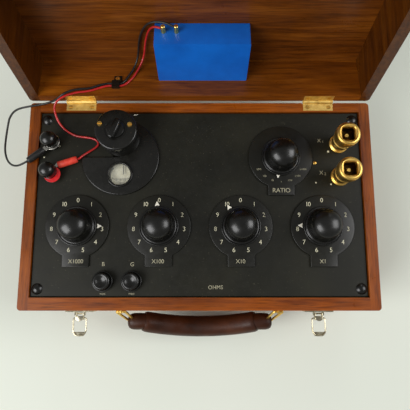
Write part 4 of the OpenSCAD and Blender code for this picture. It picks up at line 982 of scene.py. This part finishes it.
def block(low, high, edge=0.5):
    """A box with rounded upright corners and a rounded top edge."""
    (x0, y0, z0), (x1, y1, z1) = low, high
    outline = []
    for cx, cy, a in ((x1 - edge, y1 - edge, 0), (x0 + edge, y1 - edge, 90),
                      (x0 + edge, y0 + edge, 180), (x1 - edge, y0 + edge, 270)):
        outline += arc(cx, cy, edge, a, a + 90, 4)
    return plate(outline, z0, z1, edge)


LATCH_X = {"left": -132, "right": 132}
PIN_Y, PIN_Z, BAIL_Y = -123.5, 93, -128.5
BAIL_HALF, BAIL_WIRE, CHEEK = 7.1, 0.9, 1.2
half_line = [(3.4, 0, 0), (BAIL_HALF, 0, 0), (BAIL_HALF, -14.6, 0), (4.2, -18.6, 0)]
bail_line = rounded(half_line + [(-x, y, z) for x, y, z in half_line[::-1]], 2)
nose = plate([(-BAIL_HALF, -15.2), (-4.4, -19.4), (4.4, -19.4), (BAIL_HALF, -15.2), (5.8, -14.9),
              (-5.8, -14.9)], -2, -0.7, 0.3)
bail = join_shapes(tube(bail_line, BAIL_WIRE), nose)
leaf = plate(arc(0, -3.5, 4.5, 180, 360, 24) + [(4.5, -2.5), (-4.5, -2.5)], 1.9, 3.1, 0.3)
lever = join_shapes(leaf, *[block((x, -7, -1.7), (x + CHEEK, 1.2, 2.2), 0.4) for x in (-4.5, 3.3)])
for side, x in LATCH_X.items():
    add_piece("bail_wire_" + side, placed(bail, (x, BAIL_Y, PIN_Z)), nickel, "bail_" + side,
              ["latch_bail_" + side], 50)
    add_piece("lever_" + side + "_pressing", placed(lever, (x, PIN_Y, PIN_Z)), nickel,
              "lever_" + side, ["latch_lever_" + side])
print("latches:", len(LATCH_X))


# %% [markdown]
# ## The handle
# The grip is leather rolled round a core and stitched, a little thicker in the middle
# of its arch. Its ends are round pieces that wrap the wire loops. The grip is a
# tube with a changing radius along an arc, and the loops are bent wire.

# %% Finish the leather
leather = Finish("dark handle leather", (58, 28, 12), 0.46, Specular_IOR_Level=0.3)
leather.mottle(38, 4, (0.28, (42, 19, 7)), (0.55, (60, 29, 12)), (0.8, (82, 42, 20)), rough=0.55)
leather.to(leather.ramp(leather.noise(90, 4), (0.3, 0.3), (0.75, 0.58)), "Roughness")
leather.bump(leather.mix(0.4, leather.noise(420, 4, 0.7), leather.noise(60, 3)), 0.4, 0.0006)
thread = Finish("waxed thread", (96, 62, 40), 0.6)
print("leather and thread ready")

# %% Sweep the grip and bend its loops
HANDLE_Y, HANDLE_Z, LEAN = -124, 62, math.radians(30)
REACH, GRIP_LENGTH, ARCH = 26, 137, 14
GRIP_R, GRIP_SWELL, GRIP_STEPS = 12.25, 0.2, 60
END_STEPS = ((60, 9), (67, 9.8), (74, 10), (80, 9.9), (83.5, 9.2), (86, 7.8), (87.3, 5.6), (87.6, 3))
LOOP_LINE = ((81.4, -REACH), (78.6, -REACH), (87.6, 0), (98.4, 0), (85.4, -REACH), (81.6, -REACH))
arch_radius = ((GRIP_LENGTH / 2) ** 2 + ARCH ** 2) / (2 * ARCH)


def on_handle(shape):
    """A shape given in the plane of the hanging handle, as (x, depth, drop)."""
    c, s = math.cos(LEAN), math.sin(LEAN)
    return [(x, HANDLE_Y + y * c + z * s, HANDLE_Z - y * s + z * c) for x, y, z in shape[0]], shape[1]


def arch_drop(x):
    """How far the grip's middle line hangs below the pivots."""
    return -REACH - ARCH + arch_radius - math.sqrt(arch_radius ** 2 - x * x)


grip_path, grip_radii = [], []
for k in range(GRIP_STEPS + 1):
    x = GRIP_LENGTH * (k / GRIP_STEPS - 0.5)
    thick = {0: 11.2, 1: 12.1}.get(min(k, GRIP_STEPS - k), GRIP_R)
    grip_path.append((x, 0, arch_drop(x)))
    grip_radii.append(thick + GRIP_SWELL * math.cos(x / GRIP_LENGTH * math.pi))
ends = [tube([(s * x, 0, -REACH) for x, _ in END_STEPS], [r for _, r in END_STEPS], 40) for s in (-1, 1)]
add_piece("handle_grip_leather", on_handle(join_shapes(tube(grip_path, grip_radii, 48), *ends)),
          leather, "handle", ["handle_grip"], 50)
loops = [tube(rounded([(s * x, 0, z) for x, z in LOOP_LINE], 2.2), 1.5) for s in (-1, 1)]
add_piece("handle_loops_wire", on_handle(join_shapes(*loops)), golden, "handle",
          ["handle_loops"], 50)
print("grip radius in mm:", max(grip_radii))

# %% Sew the stitches
STITCHES, SEAM_END, SEAM_DROP, THREAD_R = 44, 4, 5.6, 0.35
stitches = []
for k in range(STITCHES):
    x = -GRIP_LENGTH / 2 + SEAM_END + (GRIP_LENGTH - 2 * SEAM_END) * k / (STITCHES - 1)
    drop = arch_drop(x) - SEAM_DROP
    stitches.append(tube([(x - 1, 10.2, drop), (x, 10.45, drop), (x + 1, 10.2, drop)], THREAD_R, 6))
add_piece("handle_stitches", on_handle(join_shapes(*stitches)), thread, "handle")
print("stitches:", len(stitches))


# %% [markdown]
# ## What lies in the lid
# The battery is a plain blue block on the lid's rear wall with two posts for the tails
# of the leads. It is wrapped in card with a soft sheen, so a box with rounded edges
# and a faint texture is enough.

# %% Make the battery
battery_wrap = Finish("blue battery wrap", (6, 102, 204), 0.4, Coat_Weight=0.1)
battery_wrap.mottle(30, 4, (0.3, (2, 94, 192)), (0.7, (6, 110, 214)))
battery_wrap.bump(battery_wrap.noise(320, 3), 0.12, 0.0002)
add_piece("battery_block", opened_shape(block((-48, 50, 122), (55, 110, 151.2), 1.2)),
          battery_wrap, "lid", ["battery"])
FRONT_Y, POST_Z = 50, 138.4
points, faces = lathe([(0, 0), (2.5, 0), (2.5, 8.4), (1.9, 9), (0, 9)], 32)
posts = [([(x + at, FRONT_Y - z, y + POST_Z) for x, y, z in points], [f[::-1] for f in faces])
         for at in (-38, -24)]
add_piece("battery_posts", opened_shape(join_shapes(*posts)), golden, "lid")
print("battery posts:", len(posts))


# %% [markdown]
# ## The table and the light
# The instrument lies on a pale table between three wide, soft lamps. The lamps are set
# so that pale things stay below white. The room above is darker than the lamps, which
# is what keeps the black panel black.

# %% Make the table
table_finish = Finish("pale table", (221, 223, 212), 0.75)
table_finish.mottle(2.2, 3, (0.3, (216, 222, 209)), (0.7, (224, 228, 216)), rough=0.5)
TABLE_HALF = 3000
corners = [(x * TABLE_HALF, y * TABLE_HALF, 0) for x, y in ((-1, -1), (1, -1), (1, 1), (-1, 1))]
add_piece("table", (corners, [(0, 1, 2, 3)]), table_finish)
print("table is", 2 * TABLE_HALF, "mm wide")


# %% Set the lamps
ROOM_LEVEL = 0.25
LAMPS = (("left lamp", (-0.95, -0.62, 1.1), (0, 0, 0.08), (1.0, 0.9), 18),
         ("right lamp", (1.25, 0.05, 1.15), (0, 0, 0.08), (0.9, 0.8), 12.5),
         ("rear lamp", (0.2, 1.7, 1.2), (0, 0, 0.1), (1.4, 0.8), 5))
for name, place, target, size, power in LAMPS:
    lamp = bpy.data.lights.new(name, "AREA")
    lamp.shape = "RECTANGLE"
    lamp.size, lamp.size_y = size
    lamp.energy = power
    holder = bpy.data.objects.new(name, lamp)
    holder.location = place
    holder.rotation_euler = (Vector(target) - Vector(place)).to_track_quat("-Z", "Y").to_euler()
    SCENE.collection.objects.link(holder)
world = bpy.data.worlds.new("studio")
world.use_nodes = True
SCENE.world = world
room = world.node_tree.nodes["Background"]
room.inputs["Color"].default_value = (1, 1, 1, 1)
room.inputs["Strength"].default_value = ROOM_LEVEL
print("lamps:", len(LAMPS))
